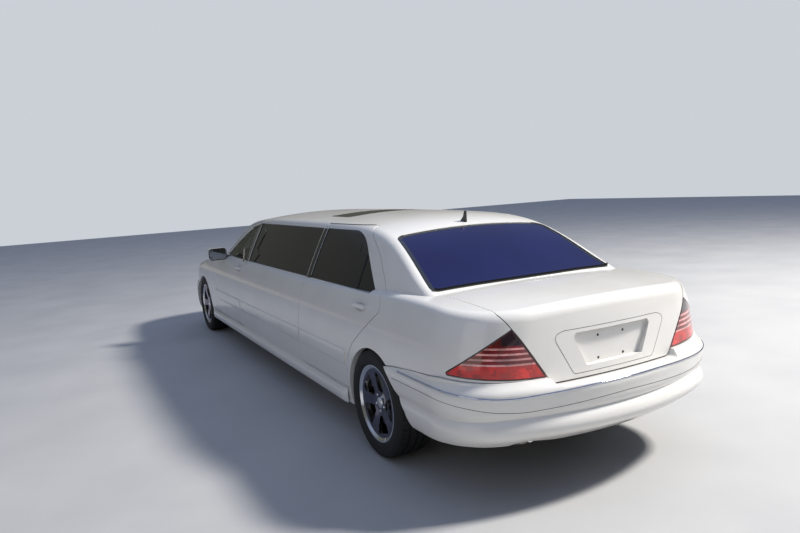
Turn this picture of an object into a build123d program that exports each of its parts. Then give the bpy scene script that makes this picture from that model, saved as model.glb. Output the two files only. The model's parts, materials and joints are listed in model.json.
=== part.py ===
from build123d import *
from math import cos, pi, radians, sin, tan
import os

# Stretched four-door limousine, millimetres. X points forward, Y to the left, Z up.
# The origin lies on the ground, half way along the car and on its centre plane.

# Overall sizes
donor_wheelbase = 3085
stretch = 1778
wheelbase = donor_wheelbase + stretch
rear_overhang = 1210
front_overhang = 868
half_width = 927
roof_height = 1465

overall_length = rear_overhang + wheelbase + front_overhang
xr = rear_overhang - overall_length / 2
xf = xr + wheelbase

# Wheels and brakes
tyre_radius = 338
tyre_width = 245
rim_radius = 241
rim_lip = 9
track = 1574
wheel_y = track / 2
wheel_z = tyre_radius
kingpin_y = wheel_y - 52
spindle_radius = 30
disc_radius = 165
disc_thickness = 28

# Gaps and wall thicknesses
shut_gap = 5
seam_gap = 3
fit_gap = 0.3
glass_inset = 5
glass_thickness = 5
frame_depth = 45
skin_depth = 38
cabin_half_width = 755
bay_half_width = 800
boot_half_width = 700

# Heights of the main horizontal lines
ground_clearance = 240
door_bottom = 352
floor_top = 285
floor_thickness = 35
belt_height = 1003
door_top = 1404
lamp_line = 652

# Wheel arches: the lip in the skin and the wider well behind it
arch_radius = 370
arch_centre_z = 322
arch_offset = -18
well_radius = 412
well_inner_y = 440
lip_inner_y = 878

# Side panel joints: rear ones from the rear axle, front ones from the front axle
rear_door_front = xr + 1270
front_door_rear = xf - 1815
front_door_front = xf - 683

# Hood and boot lid
hood_rear = xf - 600
lid_front = xr - 500

# Hinge line of the side doors, just outside the widest part of the skin
door_hinge_y = half_width + 11


# Flat outlines and prisms

def nearest_vertex(face, spot):
    return min(face.vertices(), key=lambda v: (v.center() - Vector(*spot)).length)


def outline(corners, grow=0):
    """Closed face in the XY plane from rows of u, v and an optional corner radius."""
    face = Face(Wire.make_polygon([(c[0], c[1], 0) for c in corners], close=True))
    for corner in corners:
        if len(corner) > 2:
            face = face.fillet_2d(corner[2], [nearest_vertex(face, (corner[0], corner[1], 0))])
    if grow:
        face = offset(face, amount=grow, kind=Kind.INTERSECTION)
    return face


def side_prism(corners, y_low, y_high, grow=0):
    """Outline of X, Z rows, drawn on the side of the car and cut through from y_low to y_high."""
    plane = Plane(origin=(0, y_high, 0), x_dir=(1, 0, 0), z_dir=(0, -1, 0))
    return extrude(plane * outline(corners, grow), amount=y_high - y_low, dir=(0, -1, 0))


def plan_prism(corners, z_low, z_high, grow=0):
    """Outline of X, Y rows seen from above, from z_low to z_high."""
    return extrude(Pos(0, 0, z_low) * outline(corners, grow), amount=z_high - z_low, dir=(0, 0, 1))


def end_prism(corners, x_low, x_high, grow=0):
    """Outline of Y, Z rows seen along the car, from x_low to x_high."""
    plane = Plane(origin=(x_low, 0, 0), x_dir=(0, 1, 0), z_dir=(1, 0, 0))
    return extrude(plane * outline(corners, grow), amount=x_high - x_low, dir=(1, 0, 0))


def block(x_low, x_high, y_low, y_high, z_low, z_high):
    centre = ((x_low + x_high) / 2, (y_low + y_high) / 2, (z_low + z_high) / 2)
    return Pos(*centre) * Box(x_high - x_low, y_high - y_low, z_high - z_low)


def rod_y(x, z, radius, y_low, y_high):
    """Round bar or cutter across the car."""
    place = Plane(origin=(x, y_low, z), x_dir=(1, 0, 0), z_dir=(0, 1, 0))
    return place * Cylinder(radius, y_high - y_low, align=(Align.CENTER, Align.CENTER, Align.MIN))


def mirrored(shape):
    return mirror(shape, about=Plane.XZ)


def both_sides(shape):
    return [shape, mirrored(shape)]


# Outer form of the lower body

side_sag = 16
bow_reference = 600

# z, half width, rear x from rear axle, front x from front axle,
# rear bow, front bow, rear corner radius, front corner radius
body_levels = [
    (200, half_width - 27, -1070, 790, 60, 130, 380, 400),
    (350, half_width - 12, -1100, 830, 60, 130, 380, 400),
    (500, half_width - 1, -1108, 830, 55, 130, 385, 400),
    (640, half_width, -1110, 800, 50, 130, 390, 400),
    (760, half_width - 10, -1106, 765, 48, 130, 395, 400),
    (880, half_width - 38, -1098, 735, 46, 130, 395, 395),
    (980, half_width - 77, -1085, 700, 45, 130, 390, 390),
    (1100, half_width - 137, -1065, 650, 45, 130, 380, 380),
]

# x, height on the centre line, drop at the reference half width below
deck_reference = 800
deck_sections = [
    (xr - 1400, 990, 50),
    (xr - 1090, 1028, 44),
    (xr - 850, 1046, 36),
    (xr - 450, 1059, 28),
    (xr + 300, 1056, 38),
    (0, 1050, 45),
    (xf - 1400, 1045, 45),
    (xf - 750, 1035, 45),
    (xf - 350, 1000, 45),
    (xf + 100, 935, 50),
    (xf + 450, 865, 60),
    (xf + 700, 795, 75),
    (xf + 950, 700, 90),
]
shoulder_radius = 70


def plan_ring(z, width, rear_x, front_x, rear_bow, front_bow, rear_corner, front_corner):
    """Plan section of the body: bowed ends and sides with rounded corners."""
    x_rear = xr + rear_x
    x_front = xf + front_x
    y_end = width - side_sag

    def set_back(bow):
        radius = (bow_reference ** 2 + bow ** 2) / (2 * bow)
        return radius - (radius ** 2 - y_end ** 2) ** 0.5

    x_rear_end = x_rear + set_back(rear_bow)
    x_front_end = x_front - set_back(front_bow)
    wire = Wire([
        ThreePointArc((x_rear_end, -y_end, z), (x_rear, 0, z), (x_rear_end, y_end, z)),
        ThreePointArc((x_rear_end, y_end, z), (0, width, z), (x_front_end, y_end, z)),
        ThreePointArc((x_front_end, y_end, z), (x_front, 0, z), (x_front_end, -y_end, z)),
        ThreePointArc((x_front_end, -y_end, z), (0, -width, z), (x_rear_end, -y_end, z)),
    ])
    face = Face(wire)
    face = face.fillet_2d(rear_corner, [v for v in face.vertices() if v.X < 0])
    front = [v for v in face.vertices() if v.X > 0 and abs(v.X - x_front_end) < 0.01]
    return face.fillet_2d(front_corner, front)


def ring_loft(levels):
    return Solid.make_loft([plan_ring(*level).outer_wire() for level in levels])


def deck_cutter(lower_by):
    """Everything above the crowned top of hood, waist and boot."""
    half = 1100
    top = 1700

    def section(x, height, drop):
        crown = height - lower_by
        edge = crown - drop * (half / deck_reference) ** 2
        return Wire([
            ThreePointArc((x, -half, edge), (x, 0, crown), (x, half, edge)),
            Line((x, half, edge), (x, half, top)),
            Line((x, half, top), (x, -half, top)),
            Line((x, -half, top), (x, -half, edge)),
        ])

    return Solid.make_loft([section(*row) for row in deck_sections])


def lower_body():
    body = ring_loft(body_levels) - deck_cutter(0)
    top = body.faces().sort_by(Axis.Z)[-1]
    return body.solids()[0].fillet(shoulder_radius, top.edges())


# Outer form of the glasshouse

# x, roof height, drop from the centre to the cantrail, half width at the belt,
# cantrail radius, height lost for each millimetre of inset (more where the roof slopes)
roof_sections = [
    (xr - 760, 898, 22, 690, 45, 1.13),
    (xr - 440, 1064, 26, 738, 60, 1.13),
    (xr - 100, 1240, 32, 778, 75, 1.13),
    (xr + 170, 1362, 38, 792, 90, 1.10),
    (xr + 450, roof_height - 40, 42, 800, 100, 1.02),
    (xr + 950, roof_height - 9, 46, 803, 110, 1.0),
    (xr + 1700, roof_height, 48, 805, 115, 1.0),
    (xf - 2500, roof_height, 48, 805, 115, 1.0),
    (xf - 1950, roof_height - 10, 46, 803, 110, 1.0),
    (xf - 1600, roof_height - 37, 42, 800, 100, 1.03),
    (xf - 1330, 1378, 38, 795, 90, 1.10),
    (xf - 1000, 1200, 34, 785, 75, 1.15),
    (xf - 660, 1008, 30, 765, 60, 1.15),
    (xf - 460, 895, 28, 745, 45, 1.15),
]
glasshouse_base = 800
belt_reference = 1000
tumblehome = 0.47
side_inset_factor = 1.1
side_bulge = 9


def roof_section(x, height, drop, width, radius, slope, inset):
    crown = height - inset * slope
    cantrail_z = crown - drop

    def side_y(z):
        return width - (z - belt_reference) * tumblehome - inset * side_inset_factor

    cantrail_y = side_y(cantrail_z)
    base_y = side_y(glasshouse_base)
    bulge = side_bulge * ((cantrail_z - glasshouse_base) / 500) ** 2
    middle_y = (base_y + cantrail_y) / 2 + bulge
    middle_z = (glasshouse_base + cantrail_z) / 2
    face = Face(Wire([
        Line((-base_y, glasshouse_base), (base_y, glasshouse_base)),
        ThreePointArc((base_y, glasshouse_base), (middle_y, middle_z), (cantrail_y, cantrail_z)),
        ThreePointArc((cantrail_y, cantrail_z), (0, crown), (-cantrail_y, cantrail_z)),
        ThreePointArc((-cantrail_y, cantrail_z), (-middle_y, middle_z), (-base_y, glasshouse_base)),
    ]))
    corners = [v for v in face.vertices() if v.Y > glasshouse_base + 1]
    face = face.fillet_2d(max(radius - inset, 12), corners)
    return Plane(origin=(x, 0, 0), x_dir=(0, 1, 0), z_dir=(1, 0, 0)) * face


def glasshouse(inset):
    return Solid.make_loft([roof_section(*row, inset).outer_wire() for row in roof_sections])


# Side view outlines, X and Z with corner radii

rear_door_line = [
    (rear_door_front, door_bottom),
    (rear_door_front, door_top),
    (xr + 515, door_top, 60),
    (xr + 225, 1235, 400),
    (xr + 40, 1080, 300),
    (xr - 85, 930, 50),
    (xr + 262, 672, 150),
    (xr + 372, 520, 120),
    (xr + 372, door_bottom),
]
front_door_line = [
    (front_door_rear, door_bottom),
    (front_door_rear, door_top - 10),
    (xf - 1600, 1362, 200),
    (xf - 1400, 1300, 200),
    (xf - 735, 965, 30),
    (front_door_front, 905, 30),
    (front_door_front, door_bottom),
]
rear_door_glass = [
    (rear_door_front - 42, belt_height),
    (rear_door_front - 42, door_top - 34, 12),
    (xr + 549, door_top - 34, 440),
    (xr + 100, belt_height, 16),
]
front_door_glass = [
    (front_door_rear + 42, belt_height),
    (front_door_rear + 42, door_top - 46, 12),
    (xf - 1620, 1325, 200),
    (xf - 1420, 1262, 200),
    (xf - 880, belt_height, 12),
]
centre_glass = [
    (rear_door_front + 42, belt_height),
    (rear_door_front + 42, door_top - 34, 12),
    (front_door_rear - 42, door_top - 34, 12),
    (front_door_rear - 42, belt_height),
]

# Plan view outlines of the screens and the sunroof, X and Y with corner radii
rear_screen = [
    (xr - 412, -690, 45),
    (xr + 200, -588, 75),
    (xr + 200, 588, 75),
    (xr - 412, 690, 45),
    (xr - 448, 0, 5000),
]
windscreen_line = [
    (xf - 672, -660, 60),
    (xf - 1320, -540, 70),
    (xf - 1320, 540, 70),
    (xf - 672, 660, 60),
]
sunroof_line = [
    (xr + 1270, -430, 60),
    (xr + 1700, -430, 60),
    (xr + 1700, 430, 60),
    (xr + 1270, 430, 60),
]

# Plan view outlines of hood and boot lid
hood_line = [
    (hood_rear, -735, 30),
    (xf + 250, -690),
    (xf + 620, -560, 60),
    (xf + 1000, -420),
    (xf + 1000, 420),
    (xf + 620, 560, 60),
    (xf + 250, 690),
    (hood_rear, 735, 30),
]
hood_nose_z = 790

# Boot lid seen from behind: Y and Z
lid_half_top = 655
lid_rear_view = [
    (-416, 632, 40),
    (-612, 930, 60),
    (-lid_half_top, 1000),
    (-lid_half_top, 1200),
    (lid_half_top, 1200),
    (lid_half_top, 1000),
    (612, 930, 60),
    (416, 632, 40),
]


def pick(shape):
    """Largest solid of a result, which drops stray slivers."""
    return max(shape.solids(), key=lambda s: s.volume)


# Hollows, each cut right down through the underside where floors and bulkheads close it

firewall_x = xf - 660
shelf_top = 950
shelf_bottom = 915
boot_floor_top = 430
boot_floor_bottom = 400
seat_wall_x = xr + 40
narrow_half = 430
cabin_end = xf - 680
bay_start = xf - 600
tub_wall = 15
tunnel_top = 395
wheelhouse_top = 740
firewall_thickness = 35

boot_plan = [
    (seat_wall_x, -narrow_half),
    (xr - 440, -narrow_half),
    (xr - 440, -boot_half_width),
    (xr - 780, -boot_half_width),
    (xr - 1020, -560),
    (xr - 1020, 560),
    (xr - 780, boot_half_width),
    (xr - 440, boot_half_width),
    (xr - 440, narrow_half),
    (seat_wall_x, narrow_half),
]
bay_plan = [
    (bay_start, -bay_half_width),
    (xf + 330, -bay_half_width),
    (xf + 650, -540),
    (xf + 650, 540),
    (xf + 330, bay_half_width),
    (bay_start, bay_half_width),
]


def hollows():
    inner_deck = deck_cutter(skin_depth)
    upper = glasshouse(frame_depth) & block(xr - 470, xf - 560, -900, 900, shelf_top, 1500)
    cabin = block(xr + 430, cabin_end, -cabin_half_width, cabin_half_width, 0, shelf_top + 5)
    behind = block(seat_wall_x - 30, xr + 431, -cabin_half_width, cabin_half_width, 800, shelf_top + 5)
    footwell = block(cabin_end - 1, bay_start + 1, -720, 720, 0, 930)
    middle = block(seat_wall_x - 1, xr + 431, -400, 400, 0, 801)
    boot = plan_prism(boot_plan, 0, 1200) - inner_deck
    boot = boot - block(xr - 520, xr + 200, -900, 900, 905, 1300)
    shelf_seat = block(xr - 520, seat_wall_x, -boot_half_width, boot_half_width, 904, shelf_top + 1)
    over_wheels = block(xr - 441, seat_wall_x, -boot_half_width, boot_half_width, wheelhouse_top, 906)
    tunnel = block(xr - 120, xr + 120, -750, 750, 0, tunnel_top)
    pipe_space = block(xr - 441, xr + 431, -boot_half_width, boot_half_width, 0, floor_top)
    bay = plan_prism(bay_plan, 0, 1200) - inner_deck
    wing = block(xf - 455, xf + 455, well_inner_y, bay_half_width + 1, 500, 800)
    for part in both_sides(wing):
        bay = bay - part
    return [
        upper, cabin, behind, footwell, middle, boot, shelf_seat, over_wheels, tunnel, pipe_space, bay,
    ]


def wheel_well(x, radius):
    well = rod_y(x + arch_offset, arch_centre_z, radius, well_inner_y, lip_inner_y)
    lip = rod_y(x + arch_offset, arch_centre_z, arch_radius, lip_inner_y - 1, 1100)
    return well + lip


def window_cuts():
    cuts = []
    for corners in (rear_door_glass, front_door_glass, centre_glass):
        cuts += both_sides(side_prism(corners, 450, 1000))
    cuts.append(plan_prism(rear_screen, 980, 1500))
    cuts.append(plan_prism(windscreen_line, 980, 1500))
    cuts.append(plan_prism(sunroof_line, 1300, 1500))
    return cuts


# Body shell, from which every fixed and moving panel is cut

outer = pick(lower_body() + glasshouse(0))
wells = both_sides(wheel_well(xr, arch_radius + 6)) + both_sides(wheel_well(xf, well_radius))
underside = block(-4000, 4000, -1100, 1100, 0, ground_clearance)
shell = pick(outer - hollows() - wells - window_cuts() - underside)

parts = {}


# Doors

flange_depth = 6
rebate_width = 30
frame_inner_y = 545


def door_cutter(corners, grow):
    """Door outline through the side; low down it stops at the door's inner face."""
    inner_y = cabin_half_width - (shut_gap if grow > 0 else 0)
    inner_top = shelf_top + (0 if grow > 0 else shut_gap)
    top_inner = frame_inner_y - (shut_gap if grow > 0 else 0)
    return side_prism(corners, top_inner, 1100, grow) - block(-4000, 4000, 0, inner_y, 0, inner_top)


def door_rebate(corners, hinge_x, low_x, top_x):
    """Step along the rear edge of a door: only a thin outer flange reaches the shut line."""
    width = shut_gap / 2 + rebate_width
    ring = side_prism(corners, frame_inner_y - 1, 1100) - side_prism(corners, 0, 1200, -width)
    behind = block(-4000, hinge_x - 350, 0, 1100, door_bottom + width, frame_top)
    behind += block(-4000, low_x + width, 0, 1100, 0, door_bottom + width)
    behind += block(-4000, top_x + width, 0, 1100, frame_top, 2000)
    return (ring & behind) & inner_form


def handle(x):
    """Pull bar on two feet over an oval cup in the skin."""
    cup = Pos(x, handle_skin_y + 4, handle_z - 6) * scale(Sphere(1), by=(72, 22, 31))
    bar = Pos(x, handle_skin_y + 17, handle_z) * Box(handle_length, 15, 27)
    bar = fillet(bar.edges(), 6)
    feet = []
    for end in (-1, 1):
        foot = Pos(x + end * (handle_length / 2 - 16), handle_skin_y, handle_z) * Box(26, 30, 19)
        feet.append(fillet(foot.edges().filter_by(Axis.Y), 8))
    return cup, [bar, *feet]


def strip(x_low, x_high):
    """Body-coloured rub strip with soft edges, standing proud of the skin."""
    view = [(x_low, 508, 10), (x_low, 612, 10), (x_high, 612, 10), (x_high, 508, 10)]
    return side_prism(view, 860, 1000) & strip_form


# Forms a little inside and outside the skin, for the flanges and the rub strips
inner_form = glasshouse(flange_depth) + ring_loft(
    [(z, width - flange_depth, *rest) for z, width, *rest in body_levels[:6]])
strip_form = ring_loft([
    (500, half_width + 1, *body_levels[2][2:]), (518, half_width + 7, *body_levels[2][2:]),
    (560, half_width + 8, *body_levels[2][2:]), (602, half_width + 7, *body_levels[2][2:]),
    (620, half_width + 1, *body_levels[2][2:])])
frame_top = 1350
strip_margin = 12
handle_z = 925
handle_skin_y = 870
handle_length = 176
door_handles = {"rear": xr + 195, "front": front_door_rear + 125}
strip_ends = {"rear": (xr + 372, rear_door_front), "front": (front_door_rear, front_door_front)}
top_corner = {"rear": xr + 515, "front": front_door_rear}

for name, corners, hinge_x in (
        ("rear", rear_door_line, rear_door_front), ("front", front_door_line, front_door_front)):
    cup, bar = handle(door_handles[name])
    low, high = strip_ends[name]
    rebate = door_rebate(corners, hinge_x, low, top_corner[name])
    door = (shell & door_cutter(corners, -shut_gap / 2)) - [rebate, cup]
    door = pick(door + [*bar, strip(low + strip_margin, high - strip_margin)])
    parts[f"door_{name}_left"] = door
    parts[f"door_{name}_right"] = mirrored(door)

door_space = []
for corners in (rear_door_line, front_door_line):
    door_space += both_sides(door_cutter(corners, shut_gap / 2))


# Hood and boot lid

def hood_cutter(grow):
    return plan_prism(hood_line, hood_nose_z - grow, 1300, grow)


def lid_cutter(grow):
    return end_prism(lid_rear_view, xr - 1500, lid_front + grow, grow)


# Licence plate recess, seen from behind, and its bolt pattern on a flat pad
plate_view = [(-198, 691, 14), (-279, 868, 22), (279, 868, 22), (198, 691, 14)]
plate_pad_x = xr - 1074
plate_centre_z = 768
plate_bolts = (178, 121)
plate_hole_radius = 3.5
plate_hole_depth = 26


def boot_lid():
    lid = shell & lid_cutter(-shut_gap / 2)
    recess = end_prism(plate_view, xr - 1300, plate_pad_x)
    holes = []
    for y in (-plate_bolts[0] / 2, plate_bolts[0] / 2):
        for dz in (-plate_bolts[1] / 2, plate_bolts[1] / 2):
            hole = Rot(0, 90, 0) * Cylinder(
                plate_hole_radius, plate_hole_depth, align=(Align.CENTER, Align.CENTER, Align.MIN))
            holes.append(Pos(plate_pad_x, y, plate_centre_z + dz) * hole)
    return pick(lid - [recess, *holes])


hood_rebate = hood_cutter(-shut_gap / 2) - hood_cutter(-15) - deck_cutter(flange_depth)
hood_rebate &= block(hood_rear + 40, 5000, -1100, 1100, 0, 1300)
parts["hood"] = pick((shell & hood_cutter(-shut_gap / 2)) - hood_rebate)
parts["boot_lid"] = boot_lid()


# Lamps

# Corners of the tail lamp in space: low inner, top, forward tip
tail_corners = [(xr - 1084, 440, 670), (xr - 1054, 608, 942), (xr - 800, 880, 708)]
tail_depth = 70


def tail_wedge(grow):
    """Three-cornered prism through the corner of the body, square to the diagonal."""
    low, top, tip = [Vector(*corner) for corner in tail_corners]
    inward = Vector(1, -1, 0).normalized()
    plane = Plane(origin=low, x_dir=(tip - low), z_dir=(top - low).cross(tip - low))
    local = [plane.to_local_coords(corner) for corner in (low, top, tip)]
    rows = [(point.X, point.Y, radius) for point, radius in zip(local, (8, 12, 10))]
    face = plane * outline(rows, grow)
    depth = tail_depth + (fit_gap if grow > 0 else 0)
    return extrude(face.moved(Location(inward * depth)), amount=depth + 260, dir=inward * -1)


headlamp_view = [
    (430, 628, 60),
    (455, 792, 70),
    (700, 775, 60),
    (900, 760, 48),
    (900, 655, 48),
    (690, 620, 60),
]


def headlamp_prism(grow):
    back = xf + 520 - (fit_gap if grow > 0 else 0)
    return end_prism(headlamp_view, back, xf + 1100, grow)


tail_lamp = pick((outer & tail_wedge(0)) - lid_cutter(shut_gap))
parts["tail_lamps"] = Compound(both_sides(tail_lamp))
headlamp = pick(outer & headlamp_prism(0))
parts["headlamps"] = Compound(both_sides(headlamp))

# Fixed body panels

front_bumper_top = 600
grille_top = hood_nose_z - shut_gap
grille_view = [(-345, front_bumper_top), (-385, grille_top), (385, grille_top), (345, front_bumper_top)]

# Joint between rear bumper and quarter panel in side view; it rises from the wheel arch to the tail lamp
rear_bumper_line = [
    (xr + 100, 0), (xr + 100, 590), (xr - 161, 620), (xr - 315, 645), (xr - 531, 668), (xr - 790, 689),
    (xr - 1300, 654), (xr - 1300, 0),
]

cutters = door_space + [hood_cutter(shut_gap / 2), lid_cutter(shut_gap / 2)]
cutters += both_sides(tail_wedge(seam_gap)) + both_sides(headlamp_prism(seam_gap))
bumper_zone = side_prism(rear_bumper_line, -1100, 1100, seam_gap)
cutters.append(bumper_zone & block(-5000, xr - 440, -1100, 1100, 0, 800))
cutters += both_sides(bumper_zone & block(xr - 441, xr - 150, boot_half_width, 1100, 0, 800))
cutters.append(end_prism(grille_view, xf + 500, xf + 1200, seam_gap))
cutters.append(block(xf + 200, 5000, -1100, 1100, 0, front_bumper_top + seam_gap))
fixed = shell - cutters

sill_top = door_bottom - shut_gap
roof_view = [
    (-4500, 1300), (rear_door_front, 1300), (rear_door_front, door_top),
    (front_door_rear, door_top), (front_door_rear, 1010), (4500, 1010), (4500, 1800), (-4500, 1800),
]

# Rear wheel opening, which trails off towards the bumper: X and Z
rear_arch_line = [
    (xr + 60, 200), (xr + 60, 650), (xr - 120, 672, 60), (xr - 266, 590, 150), (xr - 463, 423, 20),
    (xr - 470, 395, 20), (xr - 500, 338), (xr - 500, 200),
]

# Hinge leaves: each stands on the fixed edge and ends a running fit short of the moving panel
leaf_z = (450, 790)
leaf_half_height = 35
leaf_y = (800, 865)


def door_leaves(joint_x):
    leaves = []
    for z in leaf_z:
        leaf = block(
            joint_x - shut_gap / 2 + fit_gap, joint_x + shut_gap / 2, *leaf_y,
            z - leaf_half_height, z + leaf_half_height)
        leaves += both_sides(leaf)
    return leaves


lid_leaves = both_sides(block(
    lid_front - shut_gap / 2 + fit_gap, lid_front + shut_gap / 2, 430, 470, 1022, 1044))
hood_leaves = both_sides(block(
    hood_rear - shut_gap / 2, hood_rear + shut_gap / 2 - fit_gap, 580, 620, 965, 985))
roof_zone = side_prism(roof_view, -1100, 1100)
sill_zone = block(xr + 200, xf - 200, -1100, 1100, 0, sill_top)
cowl_zone = block(xf - 720, hood_rear - shut_gap / 2, -700, 700, 930, 1010)
centre_zone = block(rear_door_front - 10, front_door_rear + 10, -1100, 1100, sill_top, door_top)
parts["roof"] = pick(fixed & roof_zone)
lower_fixed = fixed - roof_zone
parts["side_sills"] = lower_fixed & sill_zone
rest = lower_fixed - sill_zone
centre_strips = both_sides(strip(rear_door_front + strip_margin, front_door_rear - strip_margin))
parts["centre_panels"] = (rest & centre_zone) + door_leaves(rear_door_front) + centre_strips
parts["cowl"] = pick((rest & cowl_zone) + hood_leaves)
front_rest = rest & block(front_door_rear + 10, 5000, -1100, 1100, 0, 1100)
front_rest = front_rest - cowl_zone
parts["fenders"] = front_rest + door_leaves(front_door_front)
rear_rest = rest & block(-5000, rear_door_front - 10, -1100, 1100, 0, 1400)
parts["rear_body"] = pick(rear_rest + lid_leaves - both_sides(side_prism(rear_arch_line, lip_inner_y - 1, 1100)))


# Bumpers

# Columns as for the body levels; the lower half stands out below a ledge that fades at the corners
rear_bumper_levels = [
    (470, 938, -1183, 800, 96, 130, 345, 400),
    (500, 941, -1188, 800, 97, 130, 345, 400),
    (545, 949, -1202, 800, 98, 130, 345, 400),
    (585, 951, -1209, 800, 98, 130, 345, 400),
    (615, 950, -rear_overhang, 800, 98, 130, 345, 400),
    (642, 940, -1190, 800, 95, 130, 345, 400),
    (672, 930, -1150, 800, 85, 130, 350, 400),
    (716, 925, -1112, 800, 55, 130, 385, 400),
]
rear_valance_levels = [
    (340, 925, -1128, 800, 92, 130, 370, 400),
    (370, 938, -1172, 800, 95, 130, 372, 400),
    (405, 947, -1204, 800, 97, 130, 374, 400),
    (440, 950, -rear_overhang, 800, 98, 130, 375, 400),
    (462, 947, -1202, 800, 98, 130, 375, 400),
    (495, 934, -1178, 800, 96, 130, 365, 400),
]
front_bumper_levels = [
    (235, 915, -1070, 790, 60, 125, 380, 390),
    (300, 934, -1070, 842, 60, 125, 380, 390),
    (400, 946, -1070, 864, 60, 125, 380, 395),
    (480, 948, -1070, front_overhang, 60, 125, 380, 395),
    (560, 944, -1070, 860, 60, 128, 380, 395),
    (front_bumper_top, 930, -1070, 836, 60, 130, 380, 395),
]
bumper_skin_y = 870
bumper_flange = 45
rear_bumper_inner_x = xr - 1085
front_bumper_inner_x = xf + 720

rear_bumper_space = [
    (xr, -bumper_skin_y), (xr - 780, -bumper_skin_y, 120), (rear_bumper_inner_x, -590, 80),
    (rear_bumper_inner_x, 590, 80), (xr - 780, bumper_skin_y, 120), (xr, bumper_skin_y),
]
front_bumper_space = [
    (xf, -bumper_skin_y), (xf + 430, -bumper_skin_y, 120), (front_bumper_inner_x, -560, 80),
    (front_bumper_inner_x, 560, 80), (xf + 430, bumper_skin_y, 120), (xf, bumper_skin_y),
]


def bumper(form, space, well_radius, arch_x, top):
    hollow = plan_prism(space, 0, top - 20)
    mouth = plan_prism(space, 0, top + 100, -bumper_flange)
    arch = rod_y(arch_x + arch_offset, arch_centre_z, arch_radius, -1100, 1100)
    well = rod_y(arch_x + arch_offset, arch_centre_z, well_radius, -bumper_skin_y, bumper_skin_y)
    return form - [hollow, mouth, arch, well, lid_cutter(shut_gap)]


rear_form = (ring_loft(rear_bumper_levels) + ring_loft(rear_valance_levels)) & side_prism(
    rear_bumper_line, -1100, 1100)
rear_bumper = bumper(rear_form, rear_bumper_space, arch_radius + 6, xr, lamp_line)
rear_arch_cut = side_prism(rear_arch_line, bumper_skin_y - 1, 1100)
parts["rear_bumper"] = pick(rear_bumper - both_sides(rear_arch_cut) - both_sides(tail_wedge(seam_gap)))

intake_view = [(-330, 296, 18), (-385, 388, 18), (385, 388, 18), (330, 296, 18)]
fog_view = [(470, 300, 14), (470, 380, 14), (640, 372, 14), (640, 306, 14)]
front_form = ring_loft(front_bumper_levels) & block(xf + 200, 5000, -1100, 1100, 0, 900)
front_cuts = [end_prism(intake_view, xf + 600, xf + 1000), *both_sides(end_prism(fog_view, xf + 500, xf + 1000))]
parts["front_bumper"] = pick(
    bumper(front_form, front_bumper_space, well_radius, xf, front_bumper_top) - front_cuts)


# Grille: a frame and bars that follow the bowed nose

grille_depth = 40
grille_frame = 22
grille_bar = 12
grille_bars = 5


def grille():
    nose = outer & block(xf + 500, 5000, -420, 420, 560, 840)
    skin = nose - Pos(-grille_depth, 0, 0) * nose
    inner = [(y - grille_frame * (1 if y > 0 else -1), z) for y, z in grille_view]
    inner = [(y, z + (grille_frame if z == front_bumper_top else -grille_frame)) for y, z in inner]
    shape = (skin & end_prism(grille_view, xf + 500, xf + 1000)) - end_prism(inner, xf + 500, xf + 1000)
    pitch = (grille_top - front_bumper_top) / (grille_bars + 1)
    for i in range(grille_bars):
        z = front_bumper_top + pitch * (i + 1)
        bar = skin & block(xf + 500, 5000, -385, 385, z - grille_bar / 2, z + grille_bar / 2)
        shape = shape + (bar & end_prism(grille_view, xf + 500, xf + 1000))
    return pick(shape)


parts["grille"] = grille()


# Glass

def glass_shell(inset):
    return glasshouse(inset) - glasshouse(inset + glass_thickness)


panes = glass_shell(glass_inset)
for name, corners in (("rear", rear_door_glass), ("front", front_door_glass)):
    pane = pick(panes & side_prism(corners, 450, 1000, -fit_gap))
    parts[f"window_{name}_left"] = pane
    parts[f"window_{name}_right"] = mirrored(pane)
centre_pane = pick(panes & side_prism(centre_glass, 450, 1000, -fit_gap))
parts["centre_windows"] = Compound(both_sides(centre_pane))
parts["rear_window"] = pick(panes & plan_prism(rear_screen, 980, 1500, -fit_gap))
parts["windscreen"] = pick(panes & plan_prism(windscreen_line, 980, 1500, -fit_gap))
parts["sunroof"] = pick(glass_shell(1) & plan_prism(sunroof_line, 1300, 1500, -fit_gap))


# Floors and bulkheads

floor_plan = [
    (seat_wall_x, -400), (xr + 430, -400), (xr + 430, -cabin_half_width),
    (cabin_end, -cabin_half_width), (cabin_end, -720), (firewall_x + firewall_thickness, -720),
    (firewall_x + firewall_thickness, 720), (cabin_end, 720), (cabin_end, cabin_half_width),
    (xr + 430, cabin_half_width), (xr + 430, 400), (seat_wall_x, 400),
]
tub_plan = [
    (xr - 440, -boot_half_width), (xr - 780, -boot_half_width), (xr - 1020, -560),
    (xr - 1020, 560), (xr - 780, boot_half_width), (xr - 440, boot_half_width),
]
spare_well_radius = 330
spare_well_x = xr - 700
crash_box_y = (260, 360)


def boot_floor():
    floor = plan_prism(boot_plan, boot_floor_bottom, boot_floor_top)
    walls = plan_prism(tub_plan, boot_floor_bottom, lamp_line, tub_wall)
    walls = walls & block(xr - 1200, xr - 440, -900, 900, boot_floor_bottom, lamp_line)
    tub = walls - plan_prism(tub_plan, boot_floor_top, lamp_line)
    tub = tub - block(xr - 441, xr - 400, -boot_half_width, boot_half_width, boot_floor_top, lamp_line)
    well = Cylinder(spare_well_radius, 120, align=(Align.CENTER, Align.CENTER, Align.MAX))
    well = well - Pos(0, 0, 10) * Cylinder(
        spare_well_radius - 10, 120, align=(Align.CENTER, Align.CENTER, Align.MAX))
    shape = floor + tub + Pos(spare_well_x, 0, boot_floor_bottom) * well
    for low, high in (crash_box_y, (-crash_box_y[1], -crash_box_y[0])):
        shape = shape + block(rear_bumper_inner_x, xr - 1020 - tub_wall, low, high, 480, 580)
    return pick(shape - lid_cutter(shut_gap))


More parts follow.
